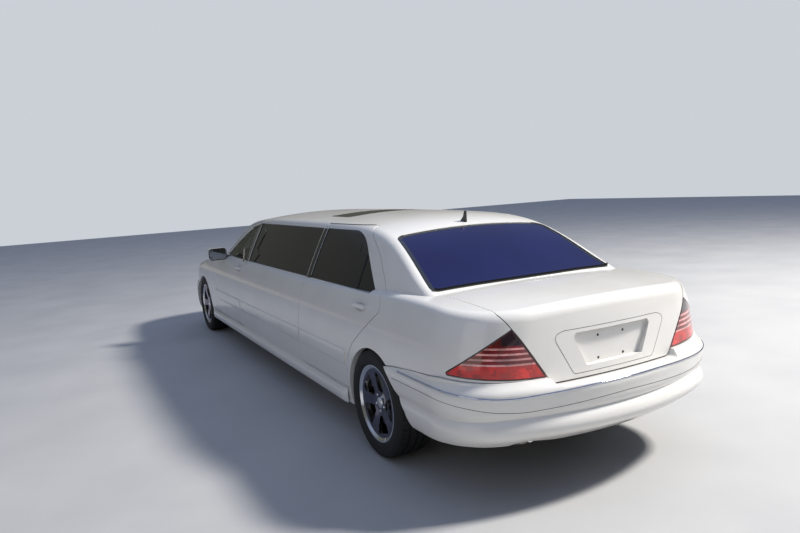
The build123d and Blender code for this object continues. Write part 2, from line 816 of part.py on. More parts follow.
parts["cabin_floor"] = plan_prism(floor_plan, floor_top - floor_thickness, floor_top)
parts["boot_floor"] = boot_floor()
parts["firewall"] = block(
    firewall_x, firewall_x + firewall_thickness, -720, 720, floor_top, 930)
wall_view = [
    (-narrow_half, boot_floor_top), (-narrow_half, wheelhouse_top), (-boot_half_width, wheelhouse_top),
    (-boot_half_width, shelf_bottom), (boot_half_width, shelf_bottom), (boot_half_width, wheelhouse_top),
    (narrow_half, wheelhouse_top), (narrow_half, boot_floor_top),
]
shelf = block(xr - 515, seat_wall_x, -boot_half_width, boot_half_width, shelf_bottom, shelf_top - 5)
parts["rear_bulkhead"] = end_prism(wall_view, seat_wall_x - 30, seat_wall_x) + shelf


# Seats and dashboard

front_seat_x = xf - 1740
rear_seat_x = xr + 500
seat_half_width = 255
seat_y = 375

front_seat_view = [
    (40, floor_top), (520, floor_top), (545, 560, 50), (60, 520), (-110, 1080, 40), (-90, 1190, 40),
    (-175, 1200, 40), (-215, 1100, 40), (-60, 420, 60),
]
rear_seat_view = [
    (0, floor_top), (480, floor_top), (530, 600, 60), (60, 560), (-90, 1060, 50), (-180, 1060, 40),
    (-170, 960), (-60, 810), (-60, 620), (-60, 480, 40),
]


def seat(view, x, y_low, y_high, facing=1):
    rows = [(x + facing * c[0], *c[1:]) for c in view]
    return side_prism(rows, y_low, y_high)


front_seat = seat(front_seat_view, front_seat_x, seat_y - seat_half_width, seat_y + seat_half_width)
parts["front_seats"] = Compound(both_sides(front_seat))
rear_bench = seat(rear_seat_view, rear_seat_x, -670, 670)
middle_bench = seat(front_seat_view, front_seat_x - 470, -670, 670, -1)
parts["rear_seats"] = Compound([rear_bench, middle_bench])

dash_view = [
    (firewall_x, 560), (firewall_x, 925), (xf - 760, 925, 60), (xf - 1010, 880, 50), (xf - 980, 700, 60),
]
steering_y = seat_y
steering_centre = (xf - 1130, steering_y, 800)
column_tilt = 24


def dashboard():
    dash = side_prism(dash_view, -715, 715)
    place = Pos(*steering_centre) * Rot(0, 90 + column_tilt, 0)
    wheel = Torus(180, 14) + Box(352, 34, 16) + Cylinder(55, 40)
    column = Cylinder(26, 240, align=(Align.CENTER, Align.CENTER, Align.MIN))
    return pick(dash + place * (wheel + column))


parts["dashboard"] = dashboard()


# Engine, chassis members and axles

rail_y = (360, 440)
rail_z = (260, 360)
ball_joint_drop = 125
pin_radius = 12
eye_radius = 27
arm_half_thickness = 13
arm_half_width = 22


def front_frame():
    shape = block(xf - 60, xf + 60, -rail_y[1], rail_y[1], 205, rail_z[0])
    shape = shape + block(xf + 600, xf + 640, -420, 420, rail_z[1], 740)
    for side in (1, -1):
        low, high = sorted((side * rail_y[0], side * rail_y[1]))
        shape = shape + block(firewall_x + firewall_thickness, front_bumper_inner_x, low, high, *rail_z)
        shape = shape + block(xf - 35, xf + 35, *sorted((side * 400, side * 440)), rail_z[1], 490)
        for level in (-1, 1):
            z = wheel_z + level * ball_joint_drop
            arm = block(
                xf - arm_half_width, xf + arm_half_width, *sorted((side * 430, side * kingpin_y)),
                z - arm_half_thickness, z + arm_half_thickness)
            eye = Pos(xf, side * kingpin_y, z) * Cylinder(eye_radius, 2 * arm_half_thickness)
            hole = Pos(xf, side * kingpin_y, z) * Cylinder(pin_radius + fit_gap, 80)
            shape = shape + arm + eye - hole
    return pick(shape)


def rear_axle():
    final_drive = Pos(xr - 62, 0, wheel_z) * Rot(0, 90, 0) * Cylinder(58, 190)
    shape = rod_y(xr, wheel_z, 38, -700, 700) + final_drive
    for side in (1, -1):
        plate = block(xr - 70, xr + 70, *sorted((side * 690, side * 780)), wheel_z - 80, wheel_z + 60)
        low, high = sorted((side * 700, side * hub_bore_end))
        spindle = rod_y(xr, wheel_z, spindle_radius, low, high)
        spring = Pos(xr, side * 380, 350) * Cylinder(
            40, boot_floor_bottom - 350, align=(Align.CENTER, Align.CENTER, Align.MIN))
        low, high = sorted((side * 330, side * 378))
        arm = block(xr - 25, xr + 560, low, high, 215, floor_top - floor_thickness)
        bracket = block(xr - 25, xr + 25, low, high, 215, wheel_z)
        shape = shape + [plate, spindle, spring, arm, bracket]
    return pick(shape)


engine_view = [(-270, rail_z[0]), (-270, 800, 60), (270, 800, 60), (270, rail_z[0])]
hub_bore_end = wheel_y + 58
parts["engine"] = end_prism(engine_view, xf - 430, xf + 270)
parts["front_subframe"] = front_frame()
parts["rear_axle"] = rear_axle()

exhaust_y = 500
pipe_radius = 26
muffler_radius = 85
tip_z = 300
pipe_z = floor_top - floor_thickness - pipe_radius - 0.4


def exhaust():
    along = Rot(0, 90, 0)
    centre = (Align.CENTER, Align.CENTER, Align.MIN)
    front_end = xf - 760
    pipe = Pos(xr - 600, exhaust_y, pipe_z) * along * Cylinder(pipe_radius, front_end - xr + 600, align=centre)
    muffler = Pos(xr - 960, exhaust_y, tip_z + 4) * along * Cylinder(muffler_radius, 420, align=centre)
    tip = Pos(xr - 1098, exhaust_y, tip_z) * along * (
        Cylinder(30, 230, align=centre) - Cylinder(26, 100, align=centre))
    return pick(pipe + muffler + tip)


parts["exhaust"] = Compound(both_sides(exhaust()))


# Wheels, drawn with the axle along local Z and the outer face towards +Z

spoke_count = 5
barrel_radius = 226
barrel_inner = 216
barrel_half = 110
disc_face = 8
hub_radius = 72

rim_profile = [
    (barrel_inner, -92), (232, -barrel_half), (rim_radius, -barrel_half), (rim_radius, -101),
    (barrel_radius, -101), (barrel_radius, 101), (rim_radius, 101), (rim_radius, barrel_half),
    (232, barrel_half), (barrel_inner, 98),
]
face_profile = [
    (0, 60), (hub_radius, 60), (barrel_inner + 1, 74), (barrel_inner + 1, 98),
    (170, 96), (110, 90), (60, 80), (0, 78),
]
# Radius, half angle and corner radius of a window between two spokes
spoke_window = [(84, 15, 10), (206, 23.5, 16)]
tyre_bead = barrel_radius + fit_gap
groove_depth = 7
groove_width = 9
grooves = (-52, 0, 52)


def turned(profile):
    """Solid of revolution about local Z from rows of radius and height."""
    face = Plane.XZ * Face(Wire.make_polygon([(r, z, 0) for r, z in profile], close=True))
    return revolve(face, axis=Axis.Z)


def rim():
    (low_r, low_a, low_f), (high_r, high_a, high_f) = spoke_window
    rows = []
    for r, a, fillet_radius in (
            (low_r, -low_a, low_f), (high_r, -high_a, high_f), (high_r, high_a, high_f), (low_r, low_a, low_f)):
        rows.append((r * cos(radians(a)), r * sin(radians(a)), fillet_radius))
    window = plan_prism(rows, 40, 140)
    face = turned(face_profile)
    for i in range(spoke_count):
        face = face - Rot(0, 0, 360 / spoke_count * (i + 0.5)) * window
    bottom = (Align.CENTER, Align.CENTER, Align.MIN)
    disc = Pos(0, 0, disc_face) * Cylinder(disc_radius, disc_thickness, align=bottom)
    hub = Pos(0, 0, disc_face) * Cylinder(hub_radius, 60 - disc_face, align=bottom)
    bore = Pos(0, 0, disc_face) * Cylinder(spindle_radius + fit_gap, 58 - disc_face + fit_gap, align=bottom)
    return pick(turned(rim_profile) + face + disc + hub - bore)


def tyre():
    half = tyre_width / 2
    seat_z = 101 - fit_gap
    lines = [
        Line((tyre_bead, -seat_z), (tyre_bead, seat_z)),
        Line((tyre_bead, seat_z), (rim_radius + 1, seat_z)),
        ThreePointArc((rim_radius + 1, seat_z), (286, half), (322, half - 7)),
        ThreePointArc((322, half - 7), (334, half - 14), (tyre_radius, half - 30)),
        Line((tyre_radius, half - 30), (tyre_radius, 30 - half)),
        ThreePointArc((tyre_radius, 30 - half), (334, 14 - half), (322, 7 - half)),
        ThreePointArc((322, 7 - half), (286, -half), (rim_radius + 1, -seat_z)),
        Line((rim_radius + 1, -seat_z), (tyre_bead, -seat_z)),
    ]
    shape = revolve(Plane.XZ * Face(Wire(lines)), axis=Axis.Z)
    for z in grooves:
        ring = Cylinder(tyre_radius + 5, groove_width) - Cylinder(tyre_radius - groove_depth, groove_width)
        shape = shape - Pos(0, 0, z) * ring
    return pick(shape)


def on_left_hub(x):
    return Plane(origin=(x, wheel_y, wheel_z), x_dir=(1, 0, 0), z_dir=(0, 1, 0))


for name, x in (("rear", xr), ("front", xf)):
    for kind, shape in (("rim", rim()), ("tyre", tyre())):
        placed = on_left_hub(x) * shape
        parts[f"{kind}_{name}_left"] = placed
        parts[f"{kind}_{name}_right"] = mirrored(placed)


# Steering knuckles with stub axle, ball pins and brake caliper

def knuckle():
    upright = block(xf - 28, xf + 28, kingpin_y - 30, kingpin_y + 30, wheel_z - 88, wheel_z + 92)
    flange = rod_y(xf, wheel_z, 60, kingpin_y + 25, kingpin_y + 50)
    spindle = rod_y(xf, wheel_z, spindle_radius, kingpin_y + 20, hub_bore_end)
    pin = Pos(xf, kingpin_y, wheel_z) * Cylinder(pin_radius, 2 * (ball_joint_drop + 20))
    caliper_y = (kingpin_y + 30, wheel_y + disc_face + disc_thickness + 20)
    caliper = block(xf - 192, xf - 116, *caliper_y, wheel_z - 55, wheel_z + 55)
    slot = rod_y(xf, wheel_z, disc_radius + 6, wheel_y + disc_face - 6, wheel_y + disc_face + disc_thickness + 6)
    bracket = block(xf - 130, xf, kingpin_y + 28, kingpin_y + 50, wheel_z - 28, wheel_z + 28)
    return pick(upright + flange + spindle + pin + (caliper - slot) + bracket)


parts["knuckle_left"] = knuckle()
parts["knuckle_right"] = mirrored(parts["knuckle_left"])


# Mirrors, wipers and antenna

mirror_x = xf - 956
mirror_y = 930
mirror_z = 1030
mirror_width = 200
mirror_tall = 132


def door_mirror():
    housing = Pos(mirror_x, mirror_y, mirror_z) * Box(110, mirror_width, mirror_tall)
    housing = fillet(housing.edges().filter_by(Axis.X), 42)
    housing = fillet(housing.faces().sort_by(Axis.X)[-1].edges(), 40)
    opening = [
        (mirror_y - mirror_width / 2 + 9, mirror_z - mirror_tall / 2 + 9, 34),
        (mirror_y - mirror_width / 2 + 9, mirror_z + mirror_tall / 2 - 9, 34),
        (mirror_y + mirror_width / 2 - 9, mirror_z + mirror_tall / 2 - 9, 34),
        (mirror_y + mirror_width / 2 - 9, mirror_z - mirror_tall / 2 + 9, 34),
    ]
    recess = end_prism(opening, mirror_x - 60, mirror_x - 49)
    foot = block(mirror_x - 38, mirror_x + 38, 770, mirror_y, mirror_z - 52, mirror_z - 22)
    return pick((housing + foot) - [outer, recess])


parts["mirror_left"] = door_mirror()
parts["mirror_right"] = mirrored(parts["mirror_left"])

# X and Y of both ends of each blade in plan
blade_lines = [((xf - 722, -590), (xf - 742, -60)), ((xf - 722, 10), (xf - 742, 560))]
blade_half = 8


def wipers():
    band = glasshouse(-10) - glasshouse(glass_inset - fit_gap)
    solids = []
    for (x1, y1), (x2, y2) in blade_lines:
        strip = [(x1 - blade_half, y1), (x2 - blade_half, y2), (x2 + blade_half, y2), (x1 + blade_half, y1)]
        solids.append(pick(band & plan_prism(strip, 950, 1400)))
    return Compound(solids)


parts["wipers"] = wipers()

antenna_x = xr + 290
antenna_top = 1466
fin_view = [
    (antenna_x - 42, 1350), (antenna_x - 42, antenna_top, 4), (antenna_x - 32, antenna_top, 4),
    (antenna_x - 18, antenna_top - 38, 40), (antenna_x + 75, 1350),
]
parts["antenna"] = pick(side_prism(fin_view, -7, 7) - outer)

os.makedirs("parts", exist_ok=True)
for name, shape in parts.items():
    export_step(Compound(list(shape.solids())), f"parts/{name}.step")
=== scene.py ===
import json
import math

import bmesh
import bpy
from mathutils import Matrix, Vector
from mathutils.bvhtree import BVHTree


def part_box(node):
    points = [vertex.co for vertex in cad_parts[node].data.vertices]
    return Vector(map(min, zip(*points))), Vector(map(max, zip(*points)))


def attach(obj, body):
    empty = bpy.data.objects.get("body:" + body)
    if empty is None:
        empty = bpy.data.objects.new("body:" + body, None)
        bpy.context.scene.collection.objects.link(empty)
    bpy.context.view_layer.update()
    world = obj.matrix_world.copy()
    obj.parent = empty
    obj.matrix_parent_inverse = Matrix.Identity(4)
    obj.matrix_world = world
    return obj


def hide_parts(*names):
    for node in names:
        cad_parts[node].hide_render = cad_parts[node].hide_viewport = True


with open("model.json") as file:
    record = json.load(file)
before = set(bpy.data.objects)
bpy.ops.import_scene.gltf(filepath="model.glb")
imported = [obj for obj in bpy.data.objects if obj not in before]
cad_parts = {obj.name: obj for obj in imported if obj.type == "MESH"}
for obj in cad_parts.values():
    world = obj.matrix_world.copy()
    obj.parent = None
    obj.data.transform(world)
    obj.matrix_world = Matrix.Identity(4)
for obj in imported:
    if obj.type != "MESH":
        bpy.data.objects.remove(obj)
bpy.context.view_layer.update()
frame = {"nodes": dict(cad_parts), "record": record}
nodes = frame["nodes"]

# Places that the whole scene measures from, in metres: rear and front axle, wheel centres
XR = -2.2605
XF = 2.6025
WHEEL_Z = 0.338
WHEEL_Y = 0.787
SIDES = ((1, "left"), (-1, "right"))
WHEELS = [(axle, x, word, side) for axle, x in (("front", XF), ("rear", XR)) for side, word in SIDES]

# Starts of the rays that look at the car from a side, and from its front or back
RAY_SIDE = 1.3
RAY_END = 4.2


# Camera, as the photograph was taken: yaw, pitch and roll in degrees, place in metres, lens in millimetres

CAMERA_TURN = (-27.63787, -6.94613, -3.52374)
CAMERA_PLACE = (-5.87798, 2.56333, 1.66609)
CAMERA_LENS = 29.874


def place_camera():
    yaw, pitch, roll = map(math.radians, CAMERA_TURN)
    forward = Vector((math.cos(yaw) * math.cos(pitch), math.sin(yaw) * math.cos(pitch), math.sin(pitch)))
    right = Vector((math.sin(yaw), -math.cos(yaw), 0))
    up = right.cross(forward)
    tilted_right = right * math.cos(roll) + up * math.sin(roll)
    tilted_up = up * math.cos(roll) - right * math.sin(roll)
    data = bpy.data.cameras.new("camera")
    data.sensor_width = 36
    data.lens = CAMERA_LENS
    camera = bpy.data.objects.new("camera", data)
    turn = Matrix((tilted_right, tilted_up, -forward)).transposed().to_4x4()
    camera.matrix_world = Matrix.Translation(CAMERA_PLACE) @ turn
    bpy.context.scene.collection.objects.link(camera)
    bpy.context.scene.camera = camera


# Materials

def new_material(name):
    material = bpy.data.materials.new(name)
    material.use_nodes = True
    tree = material.node_tree
    return material, tree, tree.nodes["Principled BSDF"]


def node(tree, kind, links=(), inputs=(), **settings):
    """A shader node with its settings, then rows of unlinked inputs and of links to its inputs."""
    made = tree.nodes.new(kind)
    for key, value in settings.items():
        setattr(made, key, value)
    for socket, value in inputs:
        made.inputs[socket].default_value = value
    for socket, source in links:
        tree.links.new(source, made.inputs[socket])
    return made


def noise(tree, scale):
    vector = node(tree, "ShaderNodeTexCoord").outputs["Object"]
    return node(tree, "ShaderNodeTexNoise", [("Vector", vector)],
                [("Scale", scale), ("Detail", 3.0), ("Roughness", 0.5)]).outputs["Fac"]


def mapped(tree, value, low, high, clamp=True):
    """A value as its share of the way from low to high."""
    return node(tree, "ShaderNodeMapRange", [("Value", value)], [("From Min", low), ("From Max", high)],
                clamp=clamp).outputs["Result"]


def ramp(tree, factor, stops):
    """Colour ramp from rows of position and colour."""
    made = node(tree, "ShaderNodeValToRGB", [("Fac", factor)])
    elements = made.color_ramp.elements
    while len(elements) < len(stops):
        elements.new(0.5)
    for element, (position, colour) in zip(elements, stops):
        element.position = position
        element.color = (*colour, 1)
    return made.outputs["Color"]


def bump(tree, shader, height, distance):
    made = node(tree, "ShaderNodeBump", [("Height", height)], [("Strength", 1.0), ("Distance", distance)])
    tree.links.new(made.outputs["Normal"], shader.inputs["Normal"])


def rough_from(tree, shader, factor, low, high):
    made = node(tree, "ShaderNodeMapRange", [("Value", factor)], [("To Min", low), ("To Max", high)])
    tree.links.new(made.outputs["Result"], shader.inputs["Roughness"])


def surface(name, dark, light, rough, metallic, scale, bump_scale, bump_mm, *others):
    """Material whose colour wanders between two tones at a scale, with matching roughness and a fine bump."""
    material, tree, shader = new_material(name)
    wander = noise(tree, scale)
    tree.links.new(ramp(tree, wander, [(0.3, dark), (0.7, light)]), shader.inputs["Base Color"])
    rough_from(tree, shader, wander, *rough)
    for socket, value in (("Metallic", metallic), *others):
        shader.inputs[socket].default_value = value
    bump(tree, shader, noise(tree, bump_scale), bump_mm / 1000)
    return material


# Tail lamps: rise of a stripe per metre outward, height of the lowest stripe, spacing of the stripes, the stripe
# count at which the crown starts, and the distances from the middle between which the crown changes its tone
STRIPE_LEAN = 0.05
STRIPE_FOOT = 0.7205
STRIPE_STEP = 0.0268
CROWN_START = (3.7, 3.76)
CROWN_SPAN = (0.58, 0.88)


def tail_lens():
    """Lamp lens by height: red foot, four clear stripes on wine red, crown smoked inside and red outside."""
    material, tree, shader = new_material("tail_lens")
    coordinates = node(tree, "ShaderNodeTexCoord").outputs["Object"]
    split = node(tree, "ShaderNodeSeparateXYZ", [("Vector", coordinates)])
    wine, foot, clear = (0.2, 0.004, 0.006), (0.62, 0.016, 0.01), (0.8, 0.36, 0.34)
    across = node(tree, "ShaderNodeMath", [(0, split.outputs["Y"])], operation="ABSOLUTE").outputs[0]
    crown = ramp(tree, mapped(tree, across, *CROWN_SPAN), [
        (0.0, (0.02, 0.006, 0.014)), (0.29, (0.024, 0.006, 0.014)), (0.3, (0.12, 0.004, 0.005)),
        (0.44, (0.16, 0.005, 0.006)), (0.45, (0.52, 0.012, 0.008)), (1.0, (0.44, 0.01, 0.008))])
    lean = node(tree, "ShaderNodeMath", [(0, across)], [(1, -STRIPE_LEAN)], operation="MULTIPLY")
    level = node(tree, "ShaderNodeMath", [(0, split.outputs["Z"]), (1, lean.outputs[0])], operation="ADD")
    count = mapped(tree, level.outputs[0], STRIPE_FOOT, STRIPE_FOOT + STRIPE_STEP, clamp=False)
    phase = node(tree, "ShaderNodeMath", [(0, count)], operation="FRACT").outputs[0]
    stripes = ramp(tree, phase, [
        (0.0, clear), (0.02, clear), (0.33, clear), (0.36, wine), (0.97, wine), (1.0, clear)])
    zone = ramp(tree, count, [(0.0, (0, 0, 0)), (0.002, (1, 1, 1))])
    bands = node(tree, "ShaderNodeMix", [("Factor", zone), ("B", stripes)], [("A", (*foot, 1))], data_type="RGBA")
    whole = node(tree, "ShaderNodeMix", [
        ("Factor", mapped(tree, count, *CROWN_START)), ("A", bands.outputs["Result"]), ("B", crown)],
        data_type="RGBA")
    cells = node(tree, "ShaderNodeTexVoronoi", [("Vector", coordinates)], [("Scale", 26.0)], distance="CHEBYCHEV")
    shade = ramp(tree, cells.outputs["Color"], [(0.2, (0.62,) * 3), (0.8, (1.25,) * 3)])
    mixed = node(tree, "ShaderNodeMix", [("A", whole.outputs["Result"]), ("B", shade)], [("Factor", 1.0)],
                 data_type="RGBA", blend_type="MULTIPLY")
    tree.links.new(mixed.outputs["Result"], shader.inputs["Base Color"])
    rough_from(tree, shader, noise(tree, 30.0), 0.08, 0.16)
    shader.inputs["Coat Weight"].default_value = 1.0
    shader.inputs["Coat Roughness"].default_value = 0.02
    bump(tree, shader, noise(tree, 160.0), 0.00005)
    return material


# Finishes: material name, darker and lighter tone, roughness range, metallic, scale of the tones, scale and
# height of the bump in millimetres, and other values of the shader
FINISHES = {
    "white_paint": ("pearl_white", (0.76, 0.745, 0.71), (0.8, 0.785, 0.75), (0.22, 0.28),
        0.0, 3.0, 900.0, 0.004, ("Coat Weight", 0.7), ("Coat Roughness", 0.03)),
    "dark_trim": ("satin_black", (0.012, 0.012, 0.013), (0.022, 0.022, 0.023), (0.35, 0.5),
        0.0, 60.0, 400.0, 0.03),
    "floor_metal": ("painted_floor", (0.1, 0.1, 0.1), (0.16, 0.155, 0.15), (0.5, 0.7), 0.0, 25.0, 400.0, 0.06),
    "dark_glass": ("privacy_glass", (0.004, 0.005, 0.007), (0.006, 0.007, 0.009), (0.02, 0.03),
        0.0, 2.0, 1.5, 0.03, ("Coat Weight", 0.5), ("Coat Roughness", 0.01)),
    "clear_glass": ("tinted_glass", (0.3, 0.33, 0.31), (0.32, 0.35, 0.33), (0.0, 0.01),
        0.0, 2.0, 1.5, 0.1, ("Transmission Weight", 1.0), ("IOR", 1.45)),
    "lamp_glass": ("lamp_lens", (0.86, 0.88, 0.9), (0.9, 0.92, 0.94), (0.02, 0.05),
        0.0, 30.0, 120.0, 0.02, ("Transmission Weight", 1.0), ("IOR", 1.25)),
    "chrome": ("chrome", (0.78, 0.79, 0.8), (0.86, 0.87, 0.88), (0.04, 0.1), 1.0, 30.0, 400.0, 0.006),
    "cabin_plastic": ("grained_plastic", (0.03, 0.029, 0.028), (0.05, 0.048, 0.046), (0.45, 0.6),
        0.0, 80.0, 900.0, 0.12),
    "seat_leather": ("leather", (0.045, 0.042, 0.04), (0.075, 0.07, 0.066), (0.38, 0.52),
        0.0, 30.0, 700.0, 0.18),
    "cast_metal": ("cast_alloy", (0.22, 0.22, 0.22), (0.34, 0.34, 0.33), (0.4, 0.6), 0.8, 35.0, 250.0, 0.2),
    "exhaust_steel": ("exhaust_steel", (0.2, 0.18, 0.16), (0.34, 0.32, 0.29), (0.3, 0.5),
        0.9, 18.0, 400.0, 0.08),
    "chassis_steel": ("chassis_paint", (0.022, 0.022, 0.022), (0.05, 0.045, 0.04), (0.5, 0.7),
        0.0, 22.0, 200.0, 0.12),
    # Wheel chrome: its dark purplish base colour is a painted reflection of shaded surroundings and a purple sky
    "wheel_chrome": ("wheel_chrome", (0.13, 0.12, 0.16), (0.19, 0.18, 0.23), (0.06, 0.12),
        1.0, 25.0, 400.0, 0.008),
    "tyre_rubber": ("tyre_rubber", (0.007, 0.007, 0.007), (0.013, 0.0125, 0.012), (0.6, 0.8),
        0.0, 45.0, 500.0, 0.1),
    "wheel_edge": ("wheel_edge", (0.8, 0.8, 0.82), (0.9, 0.9, 0.91), (0.04, 0.08), 1.0, 25.0, 400.0, 0.004),
    "mirror_glass": ("mirror_glass", (0.42, 0.45, 0.5), (0.46, 0.49, 0.54), (0.01, 0.02), 1.0, 4.0, 2.0, 0.02),
    "brake_iron": ("brake_iron", (0.16, 0.15, 0.14), (0.26, 0.25, 0.24), (0.25, 0.4), 0.9, 90.0, 300.0, 0.05),
    "rubber_trim": ("rubber_trim", (0.008, 0.008, 0.008), (0.014, 0.014, 0.014), (0.35, 0.5),
        0.0, 80.0, 400.0, 0.03),
    "piano_black": ("piano_black", (0.004, 0.004, 0.004), (0.006, 0.006, 0.006), (0.03, 0.06),
        0.0, 6.0, 3.0, 0.05, ("Coat Weight", 1.0), ("Coat Roughness", 0.02)),
    "strip_chrome": ("strip_chrome", (0.5, 0.52, 0.6), (0.62, 0.64, 0.72), (0.05, 0.1),
        1.0, 30.0, 400.0, 0.004),
    "joint_shadow": ("joint_shadow", (0.05, 0.05, 0.05), (0.08, 0.08, 0.08), (0.7, 0.9), 0.0, 60.0, 400.0, 0.01),
    "smoked_edge": ("smoked_edge", (0.035, 0.004, 0.006), (0.05, 0.006, 0.008), (0.1, 0.18),
        0.0, 40.0, 400.0, 0.01, ("Coat Weight", 1.0), ("Coat Roughness", 0.02)),
    "housing_liner": ("housing_liner", (0.01, 0.01, 0.01), (0.02, 0.019, 0.018), (0.7, 0.9),
        0.0, 40.0, 300.0, 0.3),
    "door_trim": ("door_trim", (0.04, 0.038, 0.036), (0.065, 0.061, 0.057), (0.42, 0.55),
        0.0, 30.0, 700.0, 0.15),
    "headliner": ("headliner", (0.16, 0.15, 0.14), (0.21, 0.2, 0.185), (0.85, 0.95), 0.0, 90.0, 1200.0, 0.2),
    "lamp_housing": ("lamp_housing", (0.42, 0.43, 0.45), (0.55, 0.56, 0.58), (0.18, 0.28),
        0.9, 40.0, 200.0, 0.05),
    "bulb_glass": ("bulb_glass", (0.62, 0.66, 0.72), (0.7, 0.74, 0.8), (0.02, 0.05),
        0.0, 60.0, 200.0, 0.02, ("Coat Weight", 1.0), ("Coat Roughness", 0.02)),
    "hood_mat": ("hood_mat", (0.02, 0.02, 0.02), (0.04, 0.04, 0.04), (0.85, 0.95), 0.0, 70.0, 500.0, 0.5),
    "carpet": ("carpet", (0.025, 0.024, 0.023), (0.045, 0.043, 0.041), (0.9, 1.0), 0.0, 150.0, 900.0, 0.6),
    # Rear window: a dark tint whose navy base colour is a painted reflection of the blue sky
    "sky_painted_glass": ("tint_and_painted_sky_glass", (0.002, 0.003, 0.045), (0.003, 0.005, 0.06), (0.16, 0.2), 0.0, 2.0, 1.5, 0.03),
}
finishes = {slot: surface(*row) for slot, row in FINISHES.items()}
finishes["red_lamp"] = tail_lens()
slot_of = {row["node"]: row["material_slot"] for row in frame["record"]["subparts"]}

for name, cad in nodes.items():
    cad.data.materials.clear()
    cad.data.materials.append(finishes[slot_of[name]])
# The rear window takes the dark tint with the painted navy sky reflection
nodes["rear_window"].data.materials[0] = finishes["sky_painted_glass"]


# Helpers that make pieces

def tree_of(*names):
    """Ray tree of some CAD nodes at rest."""
    corners, faces = [], []
    for name in names:
        start = len(corners)
        mesh = nodes[name].data
        corners += [v.co.copy() for v in mesh.vertices]
        faces += [[start + i for i in face.vertices] for face in mesh.polygons]
    return BVHTree.FromPolygons(corners, faces)


MISS_REACH = 0.3


def cast(tree, origin, direction):
    """Place that a ray meets, or the nearest to a point on it if it misses, with the normal towards its start."""
    origin, direction = Vector(origin), Vector(direction).normalized()
    place, normal, _, _ = tree.ray_cast(origin, direction)
    if place is None:
        place, normal, _, _ = tree.find_nearest(origin + direction * MISS_REACH)
    return place, normal if normal.dot(direction) < 0 else -normal


def place_piece(name, mesh, finish, body, slot, angle=35):
    mesh.materials.append(finishes[finish])
    mesh.shade_smooth()
    mesh.set_sharp_from_angle(angle=math.radians(angle))
    piece = bpy.data.objects.new(name, mesh)
    bpy.context.scene.collection.objects.link(piece)
    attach(piece, body)
    return piece


def reshape(mesh, change):
    """Changes a mesh by a function of its editable form."""
    form = bmesh.new()
    form.from_mesh(mesh)
    change(form)
    form.to_mesh(mesh)
    form.free()


def closed_mesh(name, corners, faces):
    mesh = bpy.data.meshes.new(name)
    mesh.from_pydata(corners, [], faces)
    reshape(mesh, lambda form: bmesh.ops.recalc_face_normals(form, faces=form.faces))
    return mesh


def ring_faces(count, size, closed):
    """Faces between neighbouring rings of corners, with the last joined to the first if closed, else two ends."""
    faces = []
    for i in range(count if closed else count - 1):
        j = (i + 1) % count
        for k in range(size):
            l = (k + 1) % size
            faces.append((i * size + k, j * size + k, j * size + l, i * size + l))
    if not closed:
        faces += [tuple(range(size)), tuple((count - 1) * size + k for k in reversed(range(size)))]
    return faces


def swept(points, normals, section, closed=False):
    """Corners and faces of a section, rows of sideways and outward offsets, carried along points on a skin."""
    count, size = len(points), len(section)
    corners = []
    for i, (point, normal) in enumerate(zip(points, normals)):
        after = points[(i + 1) % count] if closed or i < count - 1 else point
        before = points[i - 1] if closed or i > 0 else point
        along = (after - before).normalized()
        side = normal.cross(along).normalized()
        out = along.cross(side).normalized()
        corners += [point + side * a + out * b for a, b in section]
    return corners, ring_faces(count, size, closed)


def bead(width, height, sink=0.001, sides=7):
    """Domed section of a strip that sits on a skin."""
    rows = [(-width / 2, -sink)]
    for k in range(sides + 1):
        turn = math.pi * k / sides
        rows.append((-width / 2 * math.cos(turn), height * math.sin(turn)))
    rows.append((width / 2, -sink))
    return rows


def flat_band(low, high, height, sink=0.001):
    """Section of a thin band between two sideways offsets, with its edges rounded off."""
    edge = min(height, (high - low) / 4)
    return [(low, -sink), (low, height * 0.4), (low + edge, height), (high - edge, height),
            (high, height * 0.4), (high, -sink)]


def strip_piece(name, points, normals, section, finish, body, slot, closed=False):
    place_piece(name, closed_mesh(name, *swept(points, normals, section, closed)), finish, body, slot)


# Rims: least share of a face's normal that faces out, places told apart per metre, and spacing of their points
RIM_FACING = 0.25
RIM_PLACES = 20000
RIM_STEP = 0.012


def rim_of(node_name, out):
    """Rim of a pane's outer face, as evenly spaced points in order, with the face's normals there."""
    out = Vector(out)
    mesh = nodes[node_name].data
    keys, places, sums, edges = {}, [], [], {}
    for face in mesh.polygons:
        if face.normal.dot(out) < RIM_FACING or face.center.y * out.y < 0:
            continue
        ring = []
        for i in face.vertices:
            co = mesh.vertices[i].co
            key = tuple(round(c * RIM_PLACES) for c in co)
            if key not in keys:
                keys[key] = len(places)
                places.append(co.copy())
                sums.append(Vector())
            sums[keys[key]] += face.normal * face.area
            ring.append(keys[key])
        for one, two in zip(ring, ring[1:] + ring[:1]):
            if one != two:
                edge = (min(one, two), max(one, two))
                edges[edge] = edges.get(edge, 0) + 1
    after = {}
    for (one, two), uses in edges.items():
        if uses == 1:
            after.setdefault(one, []).append(two)
            after.setdefault(two, []).append(one)
    loops, seen = [], set()
    for start in after:
        if start in seen:
            continue
        loop, here, last = [], start, None
        while here not in seen:
            seen.add(here)
            loop.append(here)
            onward = [i for i in after[here] if i != last and i not in seen]
            if not onward:
                break
            last, here = here, onward[0]
        loops.append(loop)
    loop = max(loops, key=lambda rows: sum((places[a] - places[b]).length for a, b in zip(rows, rows[1:])))
    return even([places[i] for i in loop], [sums[i].normalized() for i in loop], RIM_STEP)


